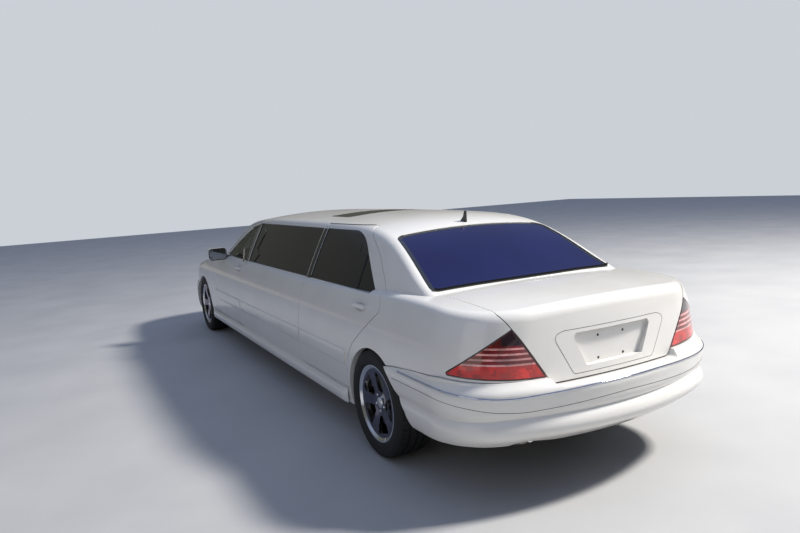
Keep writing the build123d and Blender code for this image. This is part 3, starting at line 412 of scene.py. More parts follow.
def even(points, normals, step):
    """A closed loop of points and normals with equal spacing."""
    rows = list(zip(points, normals)) + [(points[0], normals[0])]
    lengths = [(b[0] - a[0]).length for a, b in zip(rows, rows[1:])]
    total = sum(lengths)
    count = max(12, int(total / step))
    made, made_normals, index, passed = [], [], 0, 0.0
    for k in range(count):
        target = total * k / count
        while passed + lengths[index] < target:
            passed += lengths[index]
            index += 1
        share = (target - passed) / lengths[index] if lengths[index] else 0
        (one, first), (two, second) = rows[index], rows[index + 1]
        made.append(one.lerp(two, share))
        made_normals.append(first.lerp(second, share).normalized())
    return made, made_normals


def outward_rim(node_name, out):
    """As rim_of, turned so that positive sideways offsets lead away from the pane."""
    points, normals = rim_of(node_name, out)
    centre = sum(points, Vector()) / len(points)
    side = normals[0].cross(points[1] - points[-1])
    if side.dot(points[0] - centre) < 0:
        points.reverse()
        normals.reverse()
    return points, normals


def paint(name, finish, test):
    """Gives those faces of a CAD node that pass a test another finish."""
    mesh = nodes[name].data
    mesh.materials.append(finishes[finish])
    index = len(mesh.materials) - 1
    for face in mesh.polygons:
        if test(face.center, face.normal):
            face.material_index = index


# Covers: rows and columns, depth of their inner side, and the step inward from which a place takes the depth of
# the outermost place in its row
PATCH_ROWS = 14
PATCH_COLUMNS = 3
PATCH_SINK = 0.001
PATCH_STEP = 0.009


def side_patch(name, tree, side, corners, finish, body, lift=0.0012):
    """Thin cover on the side skin; its corners are X and Z: low rear, low front, top front, top rear."""
    rows, columns = PATCH_ROWS, PATCH_COLUMNS
    (ax, az), (bx, bz), (cx, cz), (dx, dz) = corners
    made, faces = [], []
    for layer in (lift, -PATCH_SINK):
        for i in range(rows + 1):
            v = i / rows
            row = []
            for k in range(columns + 1):
                u = k / columns
                x = (ax * (1 - u) + bx * u) * (1 - v) + (dx * (1 - u) + cx * u) * v
                z = (az * (1 - u) + bz * u) * (1 - v) + (dz * (1 - u) + cz * u) * v
                row.append((x, z, *cast(tree, (x, side * RAY_SIDE, z), (0, -side, 0))))
            outer = max(row, key=lambda found: side * found[2].y)
            for x, z, place, normal in row:
                if abs(outer[2].y - place.y) > PATCH_STEP:
                    place, normal = outer[2:]
                made.append(Vector((x, place.y, z)) + normal * layer)
    wide, layer_size = columns + 1, (rows + 1) * (columns + 1)
    for a in (start + i * wide + k for start in (0, layer_size) for i in range(rows) for k in range(columns)):
        faces.append((a, a + 1, a + 1 + wide, a + wide))
    border = list(range(wide)) + [i * wide + columns for i in range(1, rows + 1)]
    border += [rows * wide + k for k in range(columns - 1, -1, -1)] + [i * wide for i in range(rows - 1, 0, -1)]
    for a, b in zip(border, border[1:] + border[:1]):
        faces.append((a, b, b + layer_size, a + layer_size))
    place_piece(name, closed_mesh(name, made, faces), finish, body, "dark_trim")


# Window rims, pillar covers and dividers; the posts stand at the middle of each door's rear or front gap

FRONT_POST = 0.7877
REAR_POST = -0.9904
HALF_GAP = 0.0026
POST_FOOT = 1.0
POST_TOP = 1.375
POST_REACH = 0.062
SIDE_PANELS = ("door_front_left", "door_front_right", "door_rear_left", "door_rear_right", "centre_panels")
side_band = flat_band(-0.004, 0.0075, 0.0025)

for side, word in SIDES:
    front_door, rear_door = f"front_door_{word}", f"rear_door_{word}"
    for pane, rim, body in (
            (f"window_front_{word}", f"window_front_{word}_rim", front_door),
            (f"window_rear_{word}", f"window_rear_{word}_rim", rear_door),
            ("centre_windows", f"centre_window_{word}_rim", "body")):
        strip_piece(rim, *outward_rim(pane, (0, side, 0.3)), side_band, "rubber_trim", body, "dark_trim",
                    closed=True)
    front_tree = tree_of(f"door_front_{word}", f"window_front_{word}")
    rear_tree = tree_of(f"door_rear_{word}", f"window_rear_{word}")
    centre_tree = tree_of("centre_panels", "centre_windows")
    for name, tree, body, rear_x, front_x, top in (
            ("front_cover", front_tree, front_door, FRONT_POST + HALF_GAP, 0.834, 1.353),
            ("centre_front_cover", centre_tree, "body", 0.741, FRONT_POST - HALF_GAP, 1.366),
            ("centre_rear_cover", centre_tree, "body", REAR_POST + HALF_GAP, -0.943, 1.366),
            ("rear_cover", rear_tree, rear_door, -1.038, REAR_POST - HALF_GAP, 1.366)):
        corners = [(rear_x, POST_FOOT), (front_x, POST_FOOT), (front_x, top), (rear_x, top)]
        side_patch(f"{name}_{word}", tree, side, corners, "piano_black", body)
    bar = [(-1.893, 1.006), (-1.871, 1.006), (-1.851, 1.3), (-1.873, 1.3)]
    pane_tree = tree_of(f"window_rear_{word}")
    side_patch(f"quarter_bar_{word}", pane_tree, side, bar, "rubber_trim", rear_door, lift=0.003)


def post_edge(c, n):
    """Whether a face is the edge of a panel beside a post, next to the glass."""
    from_post = min(abs(c.x - FRONT_POST), abs(c.x - REAR_POST))
    return abs(n.x) > 0.5 and POST_FOOT < c.z < POST_TOP and from_post < POST_REACH


for name in SIDE_PANELS:
    paint(name, "piano_black", post_edge)
for name, out in (("rear_window", (-1, 0, 0.6)), ("windscreen", (1, 0, 0.6))):
    points, normals = outward_rim(name, out)
    for kind, band, finish in (
            ("rim", flat_band(-0.004, 0.007, 0.002), "rubber_trim"),
            ("border", flat_band(-0.03, -0.004, 0.0006), "piano_black")):
        strip_piece(f"{name}_{kind}", points, normals, band, finish, "body", "dark_trim", closed=True)


# Lines and strips round the rear bumper

rear_bumper_tree = tree_of("rear_bumper")


def level_at(rows, place):
    """Height between rows of place and height."""
    for (a, low), (b, high) in zip(rows, rows[1:]):
        if place <= b:
            return low + (high - low) * (place - a) / (b - a)
    return rows[-1][1]


def evened(rows, reach=2):
    """Running mean of vectors, with the two ends kept."""
    made = []
    for i in range(len(rows)):
        near = min(reach, i, len(rows) - 1 - i)
        span = rows[i - near:i + near + 1]
        made.append(sum(span, Vector()) / len(span))
    return made


# Rays round the left half of the bumper: how many along the side, round the corner and to the middle of the back,
# where they start, and the bumper's front end and the middle of its corner behind the rear axle
SIDE_RAYS = 16
CORNER_RAYS = 24
SIDE_START = 1.2
CORNER_START = 0.9
BUMPER_FRONT = -0.33
CORNER_X = -0.8
CORNER_Y = 0.55


def round_tail(levels):
    """Points on the rear bumper from its front left end round to its front right end.

    The levels are rows of place and height; the place runs 0 to 1 along the side, to 2 round the corner and
    to 3 at the middle of the back.
    """
    rays = []
    for i in range(SIDE_RAYS):
        x = XR + BUMPER_FRONT + (CORNER_X - BUMPER_FRONT) * i / SIDE_RAYS
        rays.append(((x, SIDE_START, level_at(levels, i / SIDE_RAYS)), (0, -1, 0)))
    for i in range(CORNER_RAYS):
        turn = math.pi / 2 * i / CORNER_RAYS
        out = Vector((-math.sin(turn), math.cos(turn), 0))
        middle = Vector((XR + CORNER_X, CORNER_Y, level_at(levels, 1 + i / CORNER_RAYS)))
        rays.append((middle + out * CORNER_START, -out))
    for i in range(CORNER_RAYS + 1):
        y = CORNER_Y * (1 - i / CORNER_RAYS)
        rays.append(((-RAY_END, y, level_at(levels, 2 + i / CORNER_RAYS)), (1, 0, 0)))
    points, normals = [], []
    for origin, direction in rays:
        place, normal = cast(rear_bumper_tree, origin, direction)
        points.append(place)
        normals.append(normal)
    points = [rear_bumper_tree.find_nearest(point)[0] for point in evened(points)]
    normals = [Vector((n.x, n.y, n.z * 0.3)).normalized() for n in evened(normals)]
    flip = Vector((1, -1, 1))
    points += [p * flip for p in reversed(points[:-1])]
    normals += [n * flip for n in reversed(normals[:-1])]
    return points, normals


strip_levels = [(0, 0.635), (0.95, 0.635), (1.26, 0.622), (1.6, 0.604), (1.79, 0.6), (2.09, 0.608),
                (2.6, 0.62), (3, 0.62)]
groove_levels = [(0, 0.586), (0.95, 0.586), (1.26, 0.565), (1.61, 0.534), (1.865, 0.523), (2.22, 0.531),
                 (2.64, 0.544), (3, 0.551)]
points, normals = round_tail(strip_levels)
strip_piece("bumper_strip", points[2:-2], normals[2:-2], bead(0.012, 0.004, sink=0.003), "strip_chrome", "body",
            "chrome")
strip_piece("bumper_groove", *round_tail(groove_levels), flat_band(-0.0015, 0.0015, 0.0005), "joint_shadow",
            "body", "dark_trim")


# Sill skirts between the wheels: rows of outward place and height

skirt_rows = [(0.913, 0.338), (0.916, 0.337), (0.9215, 0.325), (0.928, 0.314), (0.931, 0.3),
              (0.9318, 0.278), (0.929, 0.256), (0.922, 0.243), (0.913, 0.24)]
skirt_skin = skirt_rows[0][0]
SKIRT_STEPS = 40
SKIRT_TAPER = 0.05
SKIRT_LEAST = 0.15


def skirt_mesh(side, rear, front):
    """Skirt along a sill, whose outward reach grows from its least share over a taper at both ends."""
    corners = []
    for i in range(SKIRT_STEPS + 1):
        x = rear + (front - rear) * (0.5 - 0.5 * math.cos(math.pi * i / SKIRT_STEPS))
        share = min(1.0, (x - rear) / SKIRT_TAPER, (front - x) / SKIRT_TAPER)
        share = SKIRT_LEAST + (1 - SKIRT_LEAST) * share * share * (3 - 2 * share)
        corners += [(x, side * (skirt_skin + (y - skirt_skin) * share), z) for y, z in skirt_rows]
    return closed_mesh("skirt", corners, ring_faces(SKIRT_STEPS + 1, len(skirt_rows), False))


for side, word in SIDES:
    skirt = skirt_mesh(side, XR + 0.395, XF - 0.455)
    place_piece(f"sill_skirt_{word}", skirt, "white_paint", "body", "white_paint")


# Groove round the plate recess

lid_tree = tree_of("boot_lid")
groove_corners = [(0.281, 0.658, 0.03), (0.397, 0.868, 0.03), (0.33, 0.888, 0.04), (-0.33, 0.888, 0.04),
                  (-0.397, 0.868, 0.03), (-0.281, 0.658, 0.03)]


def rounded(corners, steps=8):
    """Closed outline in two coordinates with its corners rounded to the radius in the third column."""
    rows = []
    count = len(corners)
    for i, (a, b, radius) in enumerate(corners):
        here = Vector((a, b))
        before = (Vector(corners[i - 1][:2]) - here).normalized()
        after = (Vector(corners[(i + 1) % count][:2]) - here).normalized()
        half = before.angle(after) / 2
        reach = radius / math.tan(half)
        start, end = here + before * reach, here + after * reach
        middle = here + (before + after).normalized() * (radius / math.sin(half))
        first, last = start - middle, end - middle
        for k in range(steps + 1):
            spoke = first.lerp(last, k / steps)
            rows.append(middle + spoke.normalized() * radius)
    return rows


view = [Vector((-RAY_END, y, z)) for y, z in rounded(groove_corners)]
view, _ = even(view, [Vector((-1, 0, 0))] * len(view), RIM_STEP)
points, normals = zip(*[cast(lid_tree, start, (1, 0, 0)) for start in view])
strip_piece("plate_groove", points, normals, flat_band(-0.0014, 0.0014, 0.0005), "joint_shadow", "lid_panel",
            "dark_trim", closed=True)


def turned_mesh(name, profile, steps=64):
    """Closed ring about the Y axis from rows of Y and radius."""
    corners = []
    for i in range(steps):
        turn = 2 * math.pi * i / steps
        corners += [(r * math.sin(turn), y, r * math.cos(turn)) for y, r in profile]
    return closed_mesh(name, corners, ring_faces(steps, len(profile), True))


def faced_mesh(name, profile, place, out):
    """As turned_mesh, with the profile's Y along an outward direction and its origin at a place."""
    mesh = turned_mesh(name, profile, 40)
    mesh.transform(Matrix.Translation(place) @ Vector(out).to_track_quat("Y", "Z").to_matrix().to_4x4())
    return mesh


# Plugs in the four fixing holes of the plate; each stands between two places beside its hole

plug_profile = [(-0.0035, 0.0003), (0.0012, 0.0003), (0.0014, 0.003), (0.0012, 0.0055), (0.0004, 0.0074),
                (-0.0035, 0.0074)]
for i, (y, z) in enumerate([(-0.089, 0.7075), (0.089, 0.7075), (-0.089, 0.8285), (0.089, 0.8285)]):
    beside = [cast(lid_tree, (-RAY_END, y + step, z), (1, 0, 0)) for step in (-0.014, 0.014)]
    place = (beside[0][0] + beside[1][0]) / 2
    place_piece(f"plate_plug_{i}", faced_mesh("plug", plug_profile, place, beside[0][1]), "rubber_trim",
                "lid_panel", "dark_trim")


# Headlamps: a bright housing behind the lens, and two bowls with a bulb dome each

paint("headlamps", "lamp_housing", lambda c, n: n.x < 0.05)
lamp_tree = tree_of("headlamps")
BOWL_DEPTH = 0.04
bowl_profile = [(-0.052, 0.01), (-0.046, 0.028), (-0.03, 0.045), (0.0, 0.056), (0.002, 0.0572),
                (0.002, 0.059), (-0.002, 0.059), (-0.032, 0.0475), (-0.05, 0.029), (-0.056, 0.01)]
dome_profile = [(-0.056, 0.0003), (-0.012, 0.0003), (-0.013, 0.009), (-0.017, 0.017), (-0.024, 0.0225),
                (-0.032, 0.024), (-0.036, 0.024), (-0.038, 0.015), (-0.056, 0.012)]
for side, word in SIDES:
    for i, (y, z, size) in enumerate([(0.555, 0.702, 1.0), (0.69, 0.702, 0.95)]):
        skin, _ = cast(lamp_tree, (RAY_END, side * y, z), (-1, 0, 0))
        place = skin - Vector((BOWL_DEPTH, 0, 0))
        for kind, profile, finish in (
                ("bowl", bowl_profile, "wheel_edge"), ("dome", dome_profile, "bulb_glass")):
            mesh = faced_mesh(kind, [(a * size, r * size) for a, r in profile], place, (1, 0, 0))
            place_piece(f"headlamp_{kind}_{word}_{i}", mesh, finish, "body", "lamp_glass")


# Mesh in the front intake and a fog lamp in each opening beside it, on dark panels behind the bumper's skin

front_bumper_tree = tree_of("front_bumper")
SKIN_Z = 0.415
MESH_DEPTH = 0.03
MESH_BAR = 0.0016
UPRIGHTS = 44
LEVELS = 6
bar_section = [(-MESH_BAR, -MESH_BAR), (-MESH_BAR, MESH_BAR), (MESH_BAR, MESH_BAR), (MESH_BAR, -MESH_BAR)]


def behind_skin(y, z, depth):
    """Place at a depth behind the bumper's skin, which is met at a height that has no opening."""
    skin, _ = cast(front_bumper_tree, (RAY_END, y, SKIN_Z), (-1, 0, 0))
    return Vector((skin.x - depth, y, z))


def recess_panel(name, y_low, y_high, z_low, z_high, depth, thickness=0.003, columns=9):
    """Thin panel that follows the bumper's plan curve at a depth behind its skin."""
    corners, faces = [], []
    for i in range(columns):
        y = y_low + (y_high - y_low) * i / (columns - 1)
        corners += [behind_skin(y, z, back) for back in (depth, depth + thickness) for z in (z_low, z_high)]
    for i in range(columns - 1):
        a, b = 4 * i, 4 * (i + 1)
        faces += [(a + p, b + p, b + q, a + q) for p, q in ((0, 1), (1, 3), (3, 2), (2, 0))]
    faces += [tuple(end + k for k in (0, 1, 3, 2)) for end in (0, 4 * (columns - 1))]
    place_piece(name, closed_mesh(name, corners, faces), "dark_trim", "body", "dark_trim")


def bars_mesh(lines):
    corners, faces = [], []
    for line in lines:
        made, sides = swept(line, [Vector((1, 0, 0))] * len(line), bar_section)
        faces += [tuple(i + len(corners) for i in face) for face in sides]
        corners += made
    return closed_mesh("bars", corners, faces)


columns = [0.392 * (2 * i / UPRIGHTS - 1) for i in range(UPRIGHTS + 1)]
levels = [0.291 + 0.104 * i / LEVELS for i in range(LEVELS + 1)]
grid = [[behind_skin(y, z, MESH_DEPTH) for z in levels] for y in columns]
upright = [[row[0], row[LEVELS // 2], row[LEVELS]] for row in grid]
level_bars = [[row[i] for row in grid] for i in range(LEVELS + 1)]
place_piece("intake_mesh", bars_mesh(upright + level_bars), "strip_chrome", "body", "dark_trim")
recess_panel("intake_panel", -0.4, 0.4, 0.285, 0.4, 0.06)
fog_profile = [(-0.012, 0.0003), (0.015, 0.0003), (0.014, 0.01), (0.011, 0.02), (0.007, 0.026),
               (0.009, 0.0275), (0.011, 0.03), (0.009, 0.0325), (-0.012, 0.033)]
for side, word in SIDES:
    recess_panel(f"fog_panel_{word}", side * 0.455, side * 0.655, 0.288, 0.392, 0.055)
    place = behind_skin(side * 0.55, 0.34, 0.045)
    place_piece(f"fog_lamp_{word}", faced_mesh("fog", fog_profile, place, (1, 0, 0)), "bulb_glass", "body",
                "lamp_glass")


# Exhaust with two mufflers whose tips end under the bumper

def along(name, points, radius, sides=20):
    """Round bar along a few points."""
    section = [(radius * math.cos(2 * math.pi * k / sides), radius * math.sin(2 * math.pi * k / sides))
               for k in range(sides)]
    points = [Vector(point) for point in points]
    return closed_mesh(name, *swept(points, [Vector((0, 0.1, 1))] * len(points), section))


exhaust_front = Vector(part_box("exhaust")[1]).x
front_end = [v.co.z for v in nodes["exhaust"].data.vertices if v.co.x > exhaust_front - 0.01]

# Both lanes of the exhaust: outward place, pipe, muffler and tip
EXHAUST_Y = 0.5
PIPE_Z = (min(front_end) + max(front_end)) / 2
PIPE_RADIUS = 0.026
MUFFLER_X = XR - 0.952
MUFFLER_Z = 0.334
MUFFLER_FLATNESS = 0.72
TIP_X = XR - 1.005
TIP_Z = 0.348
muffler_profile = [(0.0, 0.0005), (0.0, 0.055), (0.012, 0.066), (0.024, 0.0725), (0.03, 0.074), (0.034, 0.0725),
                   (0.38, 0.0725), (0.386, 0.074), (0.392, 0.0725), (0.404, 0.066), (0.416, 0.055),
                   (0.416, 0.0005)]
tip_profile = [(0.0, 0.024), (0.0, 0.0285), (0.0015, 0.03), (0.006, 0.0305), (0.11, 0.03), (0.15, 0.024),
               (0.15, 0.02), (0.006, 0.0235)]
# Rows of place from the rear axle and height, from the muffler over the bend to the straight pipe
pipe_rows = [(-0.545, MUFFLER_Z), (-0.5, MUFFLER_Z - 0.002), (-0.44, MUFFLER_Z - 0.018),
             (-0.36, PIPE_Z + 0.035), (-0.28, PIPE_Z + 0.01), (-0.2, PIPE_Z), (0.0, PIPE_Z), (1.0, PIPE_Z)]
for side, word in SIDES:
    lane = side * EXHAUST_Y
    muffler = faced_mesh("muffler", muffler_profile, Vector(), (1, 0, 0))
    muffler.transform(
        Matrix.Translation((MUFFLER_X, lane, MUFFLER_Z)) @ Matrix.Diagonal((1, 1, MUFFLER_FLATNESS, 1)))
    pipe = along("pipe", [(XR + x, lane, z) for x, z in pipe_rows] + [(exhaust_front, lane, PIPE_Z)], PIPE_RADIUS)
    tip = faced_mesh("tip", tip_profile, Vector((TIP_X, lane, TIP_Z)), (1, 0, 0))
    for kind, mesh, finish in (
            ("muffler", muffler, "exhaust_steel"), ("pipe", pipe, "exhaust_steel"), ("tip", tip, "chrome")):
        piece = place_piece(f"exhaust_{kind}_{word}", mesh, finish, "body", "exhaust_steel")
        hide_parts("exhaust")


# Wheel housings, trim inside the doors and the cabin, carpets

WELL_X = -0.018
WELL_Z = 0.322
WELL_RADIUS = 0.415
WELL_EDGE = 0.876
BELT_Z = 1.05
CABIN_EDGE = 0.8


def in_well(c, n):
    """Whether a face lines one of the wheel housings."""
    for axle in (XR, XF):
        from_axle = Vector((c.x - axle - WELL_X, 0, c.z - WELL_Z))
        if from_axle.length < WELL_RADIUS and abs(c.y) < WELL_EDGE and (
                n.dot(from_axle) < 0 or abs(n.y) > 0.9 and abs(c.y) < 0.5):
            return True
    return False


for name in ("rear_body", "fenders", "rear_bumper", "front_bumper", "side_sills"):
    paint(name, "housing_liner", in_well)
for name in SIDE_PANELS:
    paint(name, "door_trim", lambda c, n: abs(c.y) < 0.76 and n.y * c.y < -0.2 and c.z < BELT_Z)
for name in (*SIDE_PANELS, "roof"):
    paint(name, "headliner",
          lambda c, n: n.y * c.y < 0 and n.z < 0.05 and POST_FOOT < c.z < 1.44 and abs(c.y) < CABIN_EDGE)
paint("roof", "headliner", lambda c, n: n.z < -0.3 and c.z > 1.2)
paint("hood", "hood_mat", lambda c, n: n.z < -0.5)
for name in ("boot_floor", "rear_bulkhead", "cabin_floor"):
    paint(name, "carpet", lambda c, n: n.z > 0.3 or abs(n.x) > 0.7)
paint("boot_lid", "carpet", lambda c, n: n.z < -0.6)
paint("rear_body", "carpet",
      lambda c, n: abs(c.y) < CABIN_EDGE and n.y * c.y < -0.5 and 0.4 < c.z < 1.0 and c.x < XR)


# Lamp edges, mirror glass, wheels

for side, word in SIDES:
    strip_piece(f"tail_lamp_{word}_edge", *outward_rim("tail_lamps", (-0.75, side * 0.65, 0.1)),
                flat_band(-0.005, 0.0006, 0.0006), "smoked_edge", "body", "red_lamp", closed=True)
    paint(f"mirror_{word}", "piano_black", lambda c, n: n.x < -0.6)
    paint(f"mirror_{word}", "mirror_glass", lambda c, n: n.x < -0.95 and XF - 1.0095 < c.x < XF - 1.002)
for axle, x, word, _ in WHEELS:
    def from_hub(c):
        return math.hypot(c.x - x, c.z - WHEEL_Z)

    # Spoke sides and the rim's outer ring get bright chrome as painted highlights, beside the dark painted
    # reflection of the faces
    paint(f"rim_{axle}_{word}", "wheel_edge",
          lambda c, n: 0.075 < from_hub(c) and (abs(n.y) < 0.75 or from_hub(c) > 0.214))
    paint(f"rim_{axle}_{word}", "brake_iron", lambda c, n: from_hub(c) < 0.18 and abs(c.y) < 0.835)


# Tyres: the tread is cut across at each pitch, between two shares of it, apart from the edges of its grooves

TYRE_RADIUS = 0.3378
PITCHES = 66
PITCH_SHARES = (0.0, 0.1, 0.13, 0.97)
CUT_DEPTH = 0.0045
GROOVE_EDGES = (0.0475, 0.0565)


def tyre_mesh():
    """Tyre about the Y axis at the origin: beads, ribbed side walls and a grooved tread with cross cuts."""
    tread = [(0.0, -0.0068), (0.0042, -0.0068), (0.0047, 0.0), (0.0475, 0.0), (0.048, -0.0068),
             (0.056, -0.0068), (0.0565, 0.0), (0.08, -0.0006), (0.0925, -0.0016)]
    wall = [(0.101, -0.004), (0.1085, -0.0085), (0.114, -0.015), (0.1165, -0.018), (0.1175, -0.021),
            (0.12, -0.028), (0.1215, -0.0285), (0.1222, -0.034), (0.1218, -0.0345), (0.1226, -0.048),
            (0.1222, -0.06), (0.1208, -0.07), (0.1214, -0.0712), (0.1214, -0.0742), (0.1204, -0.0752),
            (0.117, -0.085), (0.111, -0.093), (0.112, -0.0945), (0.108, -0.099), (0.1008, -0.1005)]
    profile = tread + wall
    rows = [(-y, r) for y, r in reversed(profile[1:])] + profile
    turns = [(p + share) / PITCHES * 2 * math.pi for p in range(PITCHES) for share in PITCH_SHARES]
    corners = []
    for i, turn in enumerate(turns):
        for y, drop in rows:
            cut = i % len(PITCH_SHARES) < 2 and 0.01 < abs(y) < 0.101 and drop > -0.006
            r = TYRE_RADIUS + drop - (CUT_DEPTH if cut and abs(y) not in GROOVE_EDGES else 0.0)
            corners.append((r * math.sin(turn), y, r * math.cos(turn)))
    return closed_mesh("tyre_form", corners, ring_faces(len(turns), len(rows), True))


tyre_form = tyre_mesh()
for axle, x, word, side in WHEELS:
    mesh = tyre_form.copy()
    mesh.transform(Matrix.Translation((x, side * WHEEL_Y, WHEEL_Z)))
    piece = place_piece(f"tyre_{axle}_{word}_detailed", mesh, "tyre_rubber", f"wheel_{axle}_{word}",
                        "tyre_rubber", angle=28)
    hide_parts(f"tyre_{axle}_{word}")


# Plain hub cap and five wheel bolts: rows of outward distance from the wheel's middle plane and radius

cap_profile = [(0.076, 0.001), (0.076, 0.034), (0.081, 0.0345), (0.0835, 0.0325), (0.0838, 0.029),
               (0.0855, 0.027), (0.0872, 0.02), (0.088, 0.01), (0.0882, 0.001)]
bolt_profile = [(0.074, 0.0008), (0.074, 0.0095), (0.0815, 0.0093), (0.083, 0.0078), (0.083, 0.0052),
                (0.08, 0.0048), (0.08, 0.0008)]
BOLT_CIRCLE = 0.053
for axle, x, word, side in WHEELS:
    outward = Matrix.Scale(side, 4, (0, 1, 0))
    hub = turned_mesh("hub", cap_profile)
    hub.transform(Matrix.Translation((x, side * WHEEL_Y, WHEEL_Z)) @ outward)
    place_piece(f"hub_cap_{axle}_{word}", hub, "wheel_edge", f"wheel_{axle}_{word}", "wheel_chrome")
    for i in range(5):
        turn = math.radians(126 + 72 * i)
        bolt = turned_mesh("bolt", bolt_profile, 24)
        place = Vector((x + BOLT_CIRCLE * math.cos(turn), side * WHEEL_Y, WHEEL_Z + BOLT_CIRCLE * math.sin(turn)))
        bolt.transform(Matrix.Translation(place) @ outward)
        place_piece(f"wheel_bolt_{axle}_{word}_{i}", bolt, "wheel_edge", f"wheel_{axle}_{word}", "wheel_chrome")


# Padded seats: outlines are rows of forward offset and height in millimetres

SEAT_X = XF - 1.74
SEAT_Y = 0.375
BENCH_X = XR + 0.5
MIDDLE_X = SEAT_X - 0.47
cushion_view = [(45, 415), (505, 420), (527, 450), (527, 528), (505, 546), (70, 510)]
back_view = [(38, 545), (-100, 1068), (-125, 1080), (-190, 1075), (-200, 1060), (-75, 470), (-20, 440), (20, 470)]
rest_view = [(-95, 1098), (-103, 1165), (-120, 1182), (-160, 1182), (-180, 1150), (-178, 1105), (-160, 1092)]
bench_view = [(78, 430), (470, 436), (510, 470), (518, 560), (498, 585), (95, 552)]
bench_back_view = [(52, 590), (-86, 1035), (-105, 1048), (-165, 1048), (-160, 965), (-52, 815), (-48, 600),
                   (20, 575)]
plinth_view = [(60, 285), (500, 285), (510, 330), (500, 413), (60, 408), (50, 330)]
bench_plinth_view = [(15, 285), (470, 285), (462, 428), (40, 426), (12, 360)]

# Cloth: edge of a voxel, furthest move of a point, pressure and number of frames; then a seam's depth and width
VOXEL = 0.013
PUFF = 0.01
PRESSURE = 4.0
CLOTH_FRAMES = 20
SEAM_DEPTH = 0.0045
SEAM_WIDTH = 0.0055


def extruded(name, view, half, edge):
    """Closed form of a side view in millimetres, as wide as twice the half width, with rounded edges."""
    size = len(view)
    corners = [(a / 1000, y, b / 1000) for y in (-half, half) for a, b in view]
    faces = [tuple(range(size)), tuple(range(size, 2 * size))]
    faces += [(i, (i + 1) % size, size + (i + 1) % size, size + i) for i in range(size)]
    mesh = closed_mesh(name, corners, faces)
    reshape(mesh, lambda form: bmesh.ops.bevel(
        form, geom=form.edges[:], offset=edge, segments=3, profile=0.5, affect="EDGES"))
    return mesh


def refine(form):
    """Smooths a form and halves its edges."""
    bmesh.ops.smooth_vert(form, verts=form.verts, factor=0.5, use_axis_x=True, use_axis_y=True, use_axis_z=True)
    bmesh.ops.subdivide_edges(form, edges=form.edges[:], cuts=1, use_grid_fill=True, smooth=0.6)


def inflated(forms):
    """Voxel remesh of each form, then cloth under pressure, with no point moved further than PUFF."""
    pads = []
    for name, mesh in forms.items():
        pad = bpy.data.objects.new(name, mesh)
        bpy.context.scene.collection.objects.link(pad)
        mesh.remesh_voxel_size = VOXEL
        bpy.context.view_layer.objects.active = pad
        bpy.ops.object.voxel_remesh()
        pads.append(pad)
    starts = [[v.co.copy() for v in pad.data.vertices] for pad in pads]
    for pad in pads:
        cloth = pad.modifiers.new("cloth", "CLOTH")
        cloth.settings.use_pressure = True
        cloth.settings.uniform_pressure_force = PRESSURE
        cloth.settings.effector_weights.gravity = 0.0
        cloth.settings.quality = 4
    for step in range(1, CLOTH_FRAMES + 1):
        bpy.context.scene.frame_set(step)
    shapes = bpy.context.evaluated_depsgraph_get()
    for pad, start in zip(pads, starts):
        swollen = [v.co.copy() for v in pad.evaluated_get(shapes).data.vertices]
        pad.modifiers.clear()
        for vertex, before, after in zip(pad.data.vertices, start, swollen):
            move = after - before
            vertex.co = before + (move.normalized() * PUFF if move.length > PUFF else move)
    bpy.context.scene.frame_set(1)
    made = {}
    for pad in pads:
        reshape(pad.data, refine)
        made[pad.name] = pad.data
        bpy.data.objects.remove(pad)
    return made


def sewn(mesh, seams):
    """Pushes the leather in along seams: functions of place and normal that give a distance to the line."""
    moves = []
    for vertex in mesh.vertices:
        near = min(seam(vertex.co, vertex.normal) for seam in seams)
        moves.append(vertex.normal * (SEAM_DEPTH * math.exp(-(near / SEAM_WIDTH) ** 2)))
    for vertex, move in zip(mesh.vertices, moves):
        vertex.co -= move


def seam_at(along, facing, *places):
    """Seam across the face that is turned along one axis, at places along another axis."""
    def seam(co, normal):
        return min(abs(co[along] - place) for place in places) if normal[facing] >= 0.3 else 1.0
    return seam


def welt(half):
    """Seam round a pad's side, where the top meets the border."""
    def seam(co, normal):
        return abs(abs(co.y) - half) if abs(normal.y) < 0.98 else 1.0
    return seam


# Pads: side view, half width, radius of the edges, and seams
X, Y, Z = range(3)
pads = {
    "seat_cushion": (cushion_view, 0.24, 0.02, [
        seam_at(Y, Z, -0.125, 0.125), seam_at(X, Z, 0.36), welt(0.222)]),
    "seat_back": (back_view, 0.236, 0.022, [
        seam_at(Y, X, -0.125, 0.125), seam_at(Z, X, 0.7, 0.93), welt(0.218)]),
    "head_rest": (rest_view, 0.118, 0.02, [welt(0.1)]),
    "bench_cushion": (bench_view, 0.648, 0.022, [
        seam_at(Y, Z, -0.42, -0.216, 0.0, 0.216, 0.42), welt(0.628)]),
    "bench_back": (bench_back_view, 0.645, 0.02, [
        seam_at(Y, X, -0.42, -0.216, 0.0, 0.216, 0.42), seam_at(Z, X, 0.8), welt(0.626)]),
}
pad_forms = inflated({name: extruded(name, *row[:3]) for name, row in pads.items()})
for name, row in pads.items():
    sewn(pad_forms[name], row[3])


def seat_piece(name, form, place, facing, replaced, padded=True):
    mesh = form.copy()
    mesh.transform(Matrix.Translation(place) @ Matrix.Diagonal((facing, 1, 1, 1)))
    if facing < 0:
        mesh.flip_normals()
    piece = place_piece(name, mesh, "seat_leather" if padded else "cabin_plastic", "body", "seat_leather", 60)
    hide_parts(replaced)


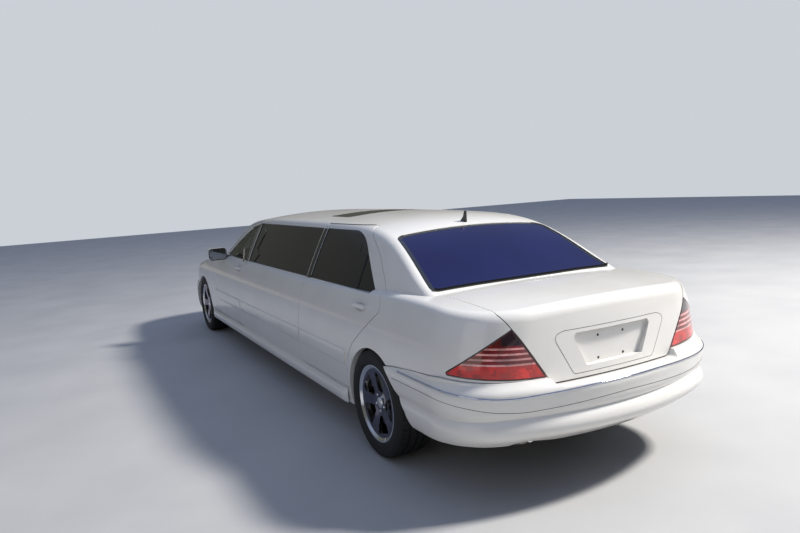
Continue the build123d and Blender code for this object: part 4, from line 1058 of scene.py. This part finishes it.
front_plinth = extruded("seat_plinth", plinth_view, 0.2, 0.008)
bench_plinth = extruded("bench_plinth", bench_plinth_view, 0.64, 0.008)
post_row = [Vector((-0.118, 0, 1.06)), Vector((-0.124, 0, 1.085)), Vector((-0.13, 0, 1.11))]
round_section = [(0.006 * math.cos(math.pi * k / 6), 0.006 * math.sin(math.pi * k / 6)) for k in range(12)]
for side, word in SIDES:
    place = (SEAT_X, side * SEAT_Y, 0)
    for part in ("seat_cushion", "seat_back", "head_rest"):
        seat_piece(f"{part}_{word}", pad_forms[part], place, 1, "front_seats")
    seat_piece(f"seat_plinth_{word}", front_plinth, place, 1, "front_seats", padded=False)
    for i, offset in enumerate((-0.06, 0.06)):
        row = [point + Vector((SEAT_X, side * SEAT_Y + offset, 0)) for point in post_row]
        strip_piece(f"head_rest_post_{word}_{i}", row, [Vector((1, 0, 0.2))] * 3, round_section, "chrome", "body",
                    "seat_leather")
for word, x, facing in (("rear", BENCH_X, 1), ("middle", MIDDLE_X, -1)):
    for part in ("bench_cushion", "bench_back"):
        seat_piece(f"{word}_{part}", pad_forms[part], (x, 0, 0), facing, "rear_seats")
    seat_piece(f"{word}_bench_plinth", bench_plinth, (x, 0, 0), facing, "rear_seats", padded=False)


# Floor, world and lights

LIGHT_AIM = (0, 0, 0.6)


def studio():
    bpy.ops.mesh.primitive_plane_add(size=60, location=(0, 0, 0))
    floor = bpy.context.object
    floor.name = "studio_floor"
    floor.data.materials.append(surface(
        "pale_floor", (0.42, 0.42, 0.42), (0.47, 0.468, 0.462), (0.7, 0.85), 0.0, 1.2, 60.0, 0.4))
    world = bpy.data.worlds.new("studio")
    bpy.context.scene.world = world
    world.use_nodes = True
    tree = world.node_tree
    back = tree.nodes["Background"]
    upward = node(tree, "ShaderNodeTexCoord").outputs["Generated"]
    split = node(tree, "ShaderNodeSeparateXYZ", [("Vector", upward)])
    sky = ramp(tree, mapped(tree, split.outputs["Z"], -0.2, 1.0), [
        (0.0, (0.42, 0.39, 0.35)), (0.165, (0.42, 0.39, 0.35)), (0.18, (0.1, 0.102, 0.09)),
        (0.4, (0.12, 0.124, 0.112)), (0.52, (0.2, 0.24, 0.34)), (1.0, (0.34, 0.42, 0.62))])
    seen = node(tree, "ShaderNodeLightPath").outputs["Is Camera Ray"]
    shown = node(tree, "ShaderNodeMix", [("Factor", seen), ("A", sky)], [("B", (0.6, 0.63, 0.68, 1))],
                 data_type="RGBA")
    tree.links.new(shown.outputs["Result"], back.inputs["Color"])
    back.inputs["Strength"].default_value = 1.0
    lights = [
        ("key", (-6.5, -8.8, 11.0), 1.8, 3600, (1.0, 0.965, 0.91)),
        ("fill", (-7.0, 9.0, 3.0), 6.0, 70, (1.0, 0.95, 0.87)),
    ]
    for name, place, size, power, colour in lights:
        data = bpy.data.lights.new(name, "AREA")
        data.size = size
        data.energy = power
        data.color = colour
        light = bpy.data.objects.new(name, data)
        light.location = place
        light.rotation_euler = (Vector(LIGHT_AIM) - Vector(place)).to_track_quat("-Z", "Y").to_euler()
        bpy.context.scene.collection.objects.link(light)


place_camera()
studio()
bpy.context.scene.view_settings.view_transform = "Standard"
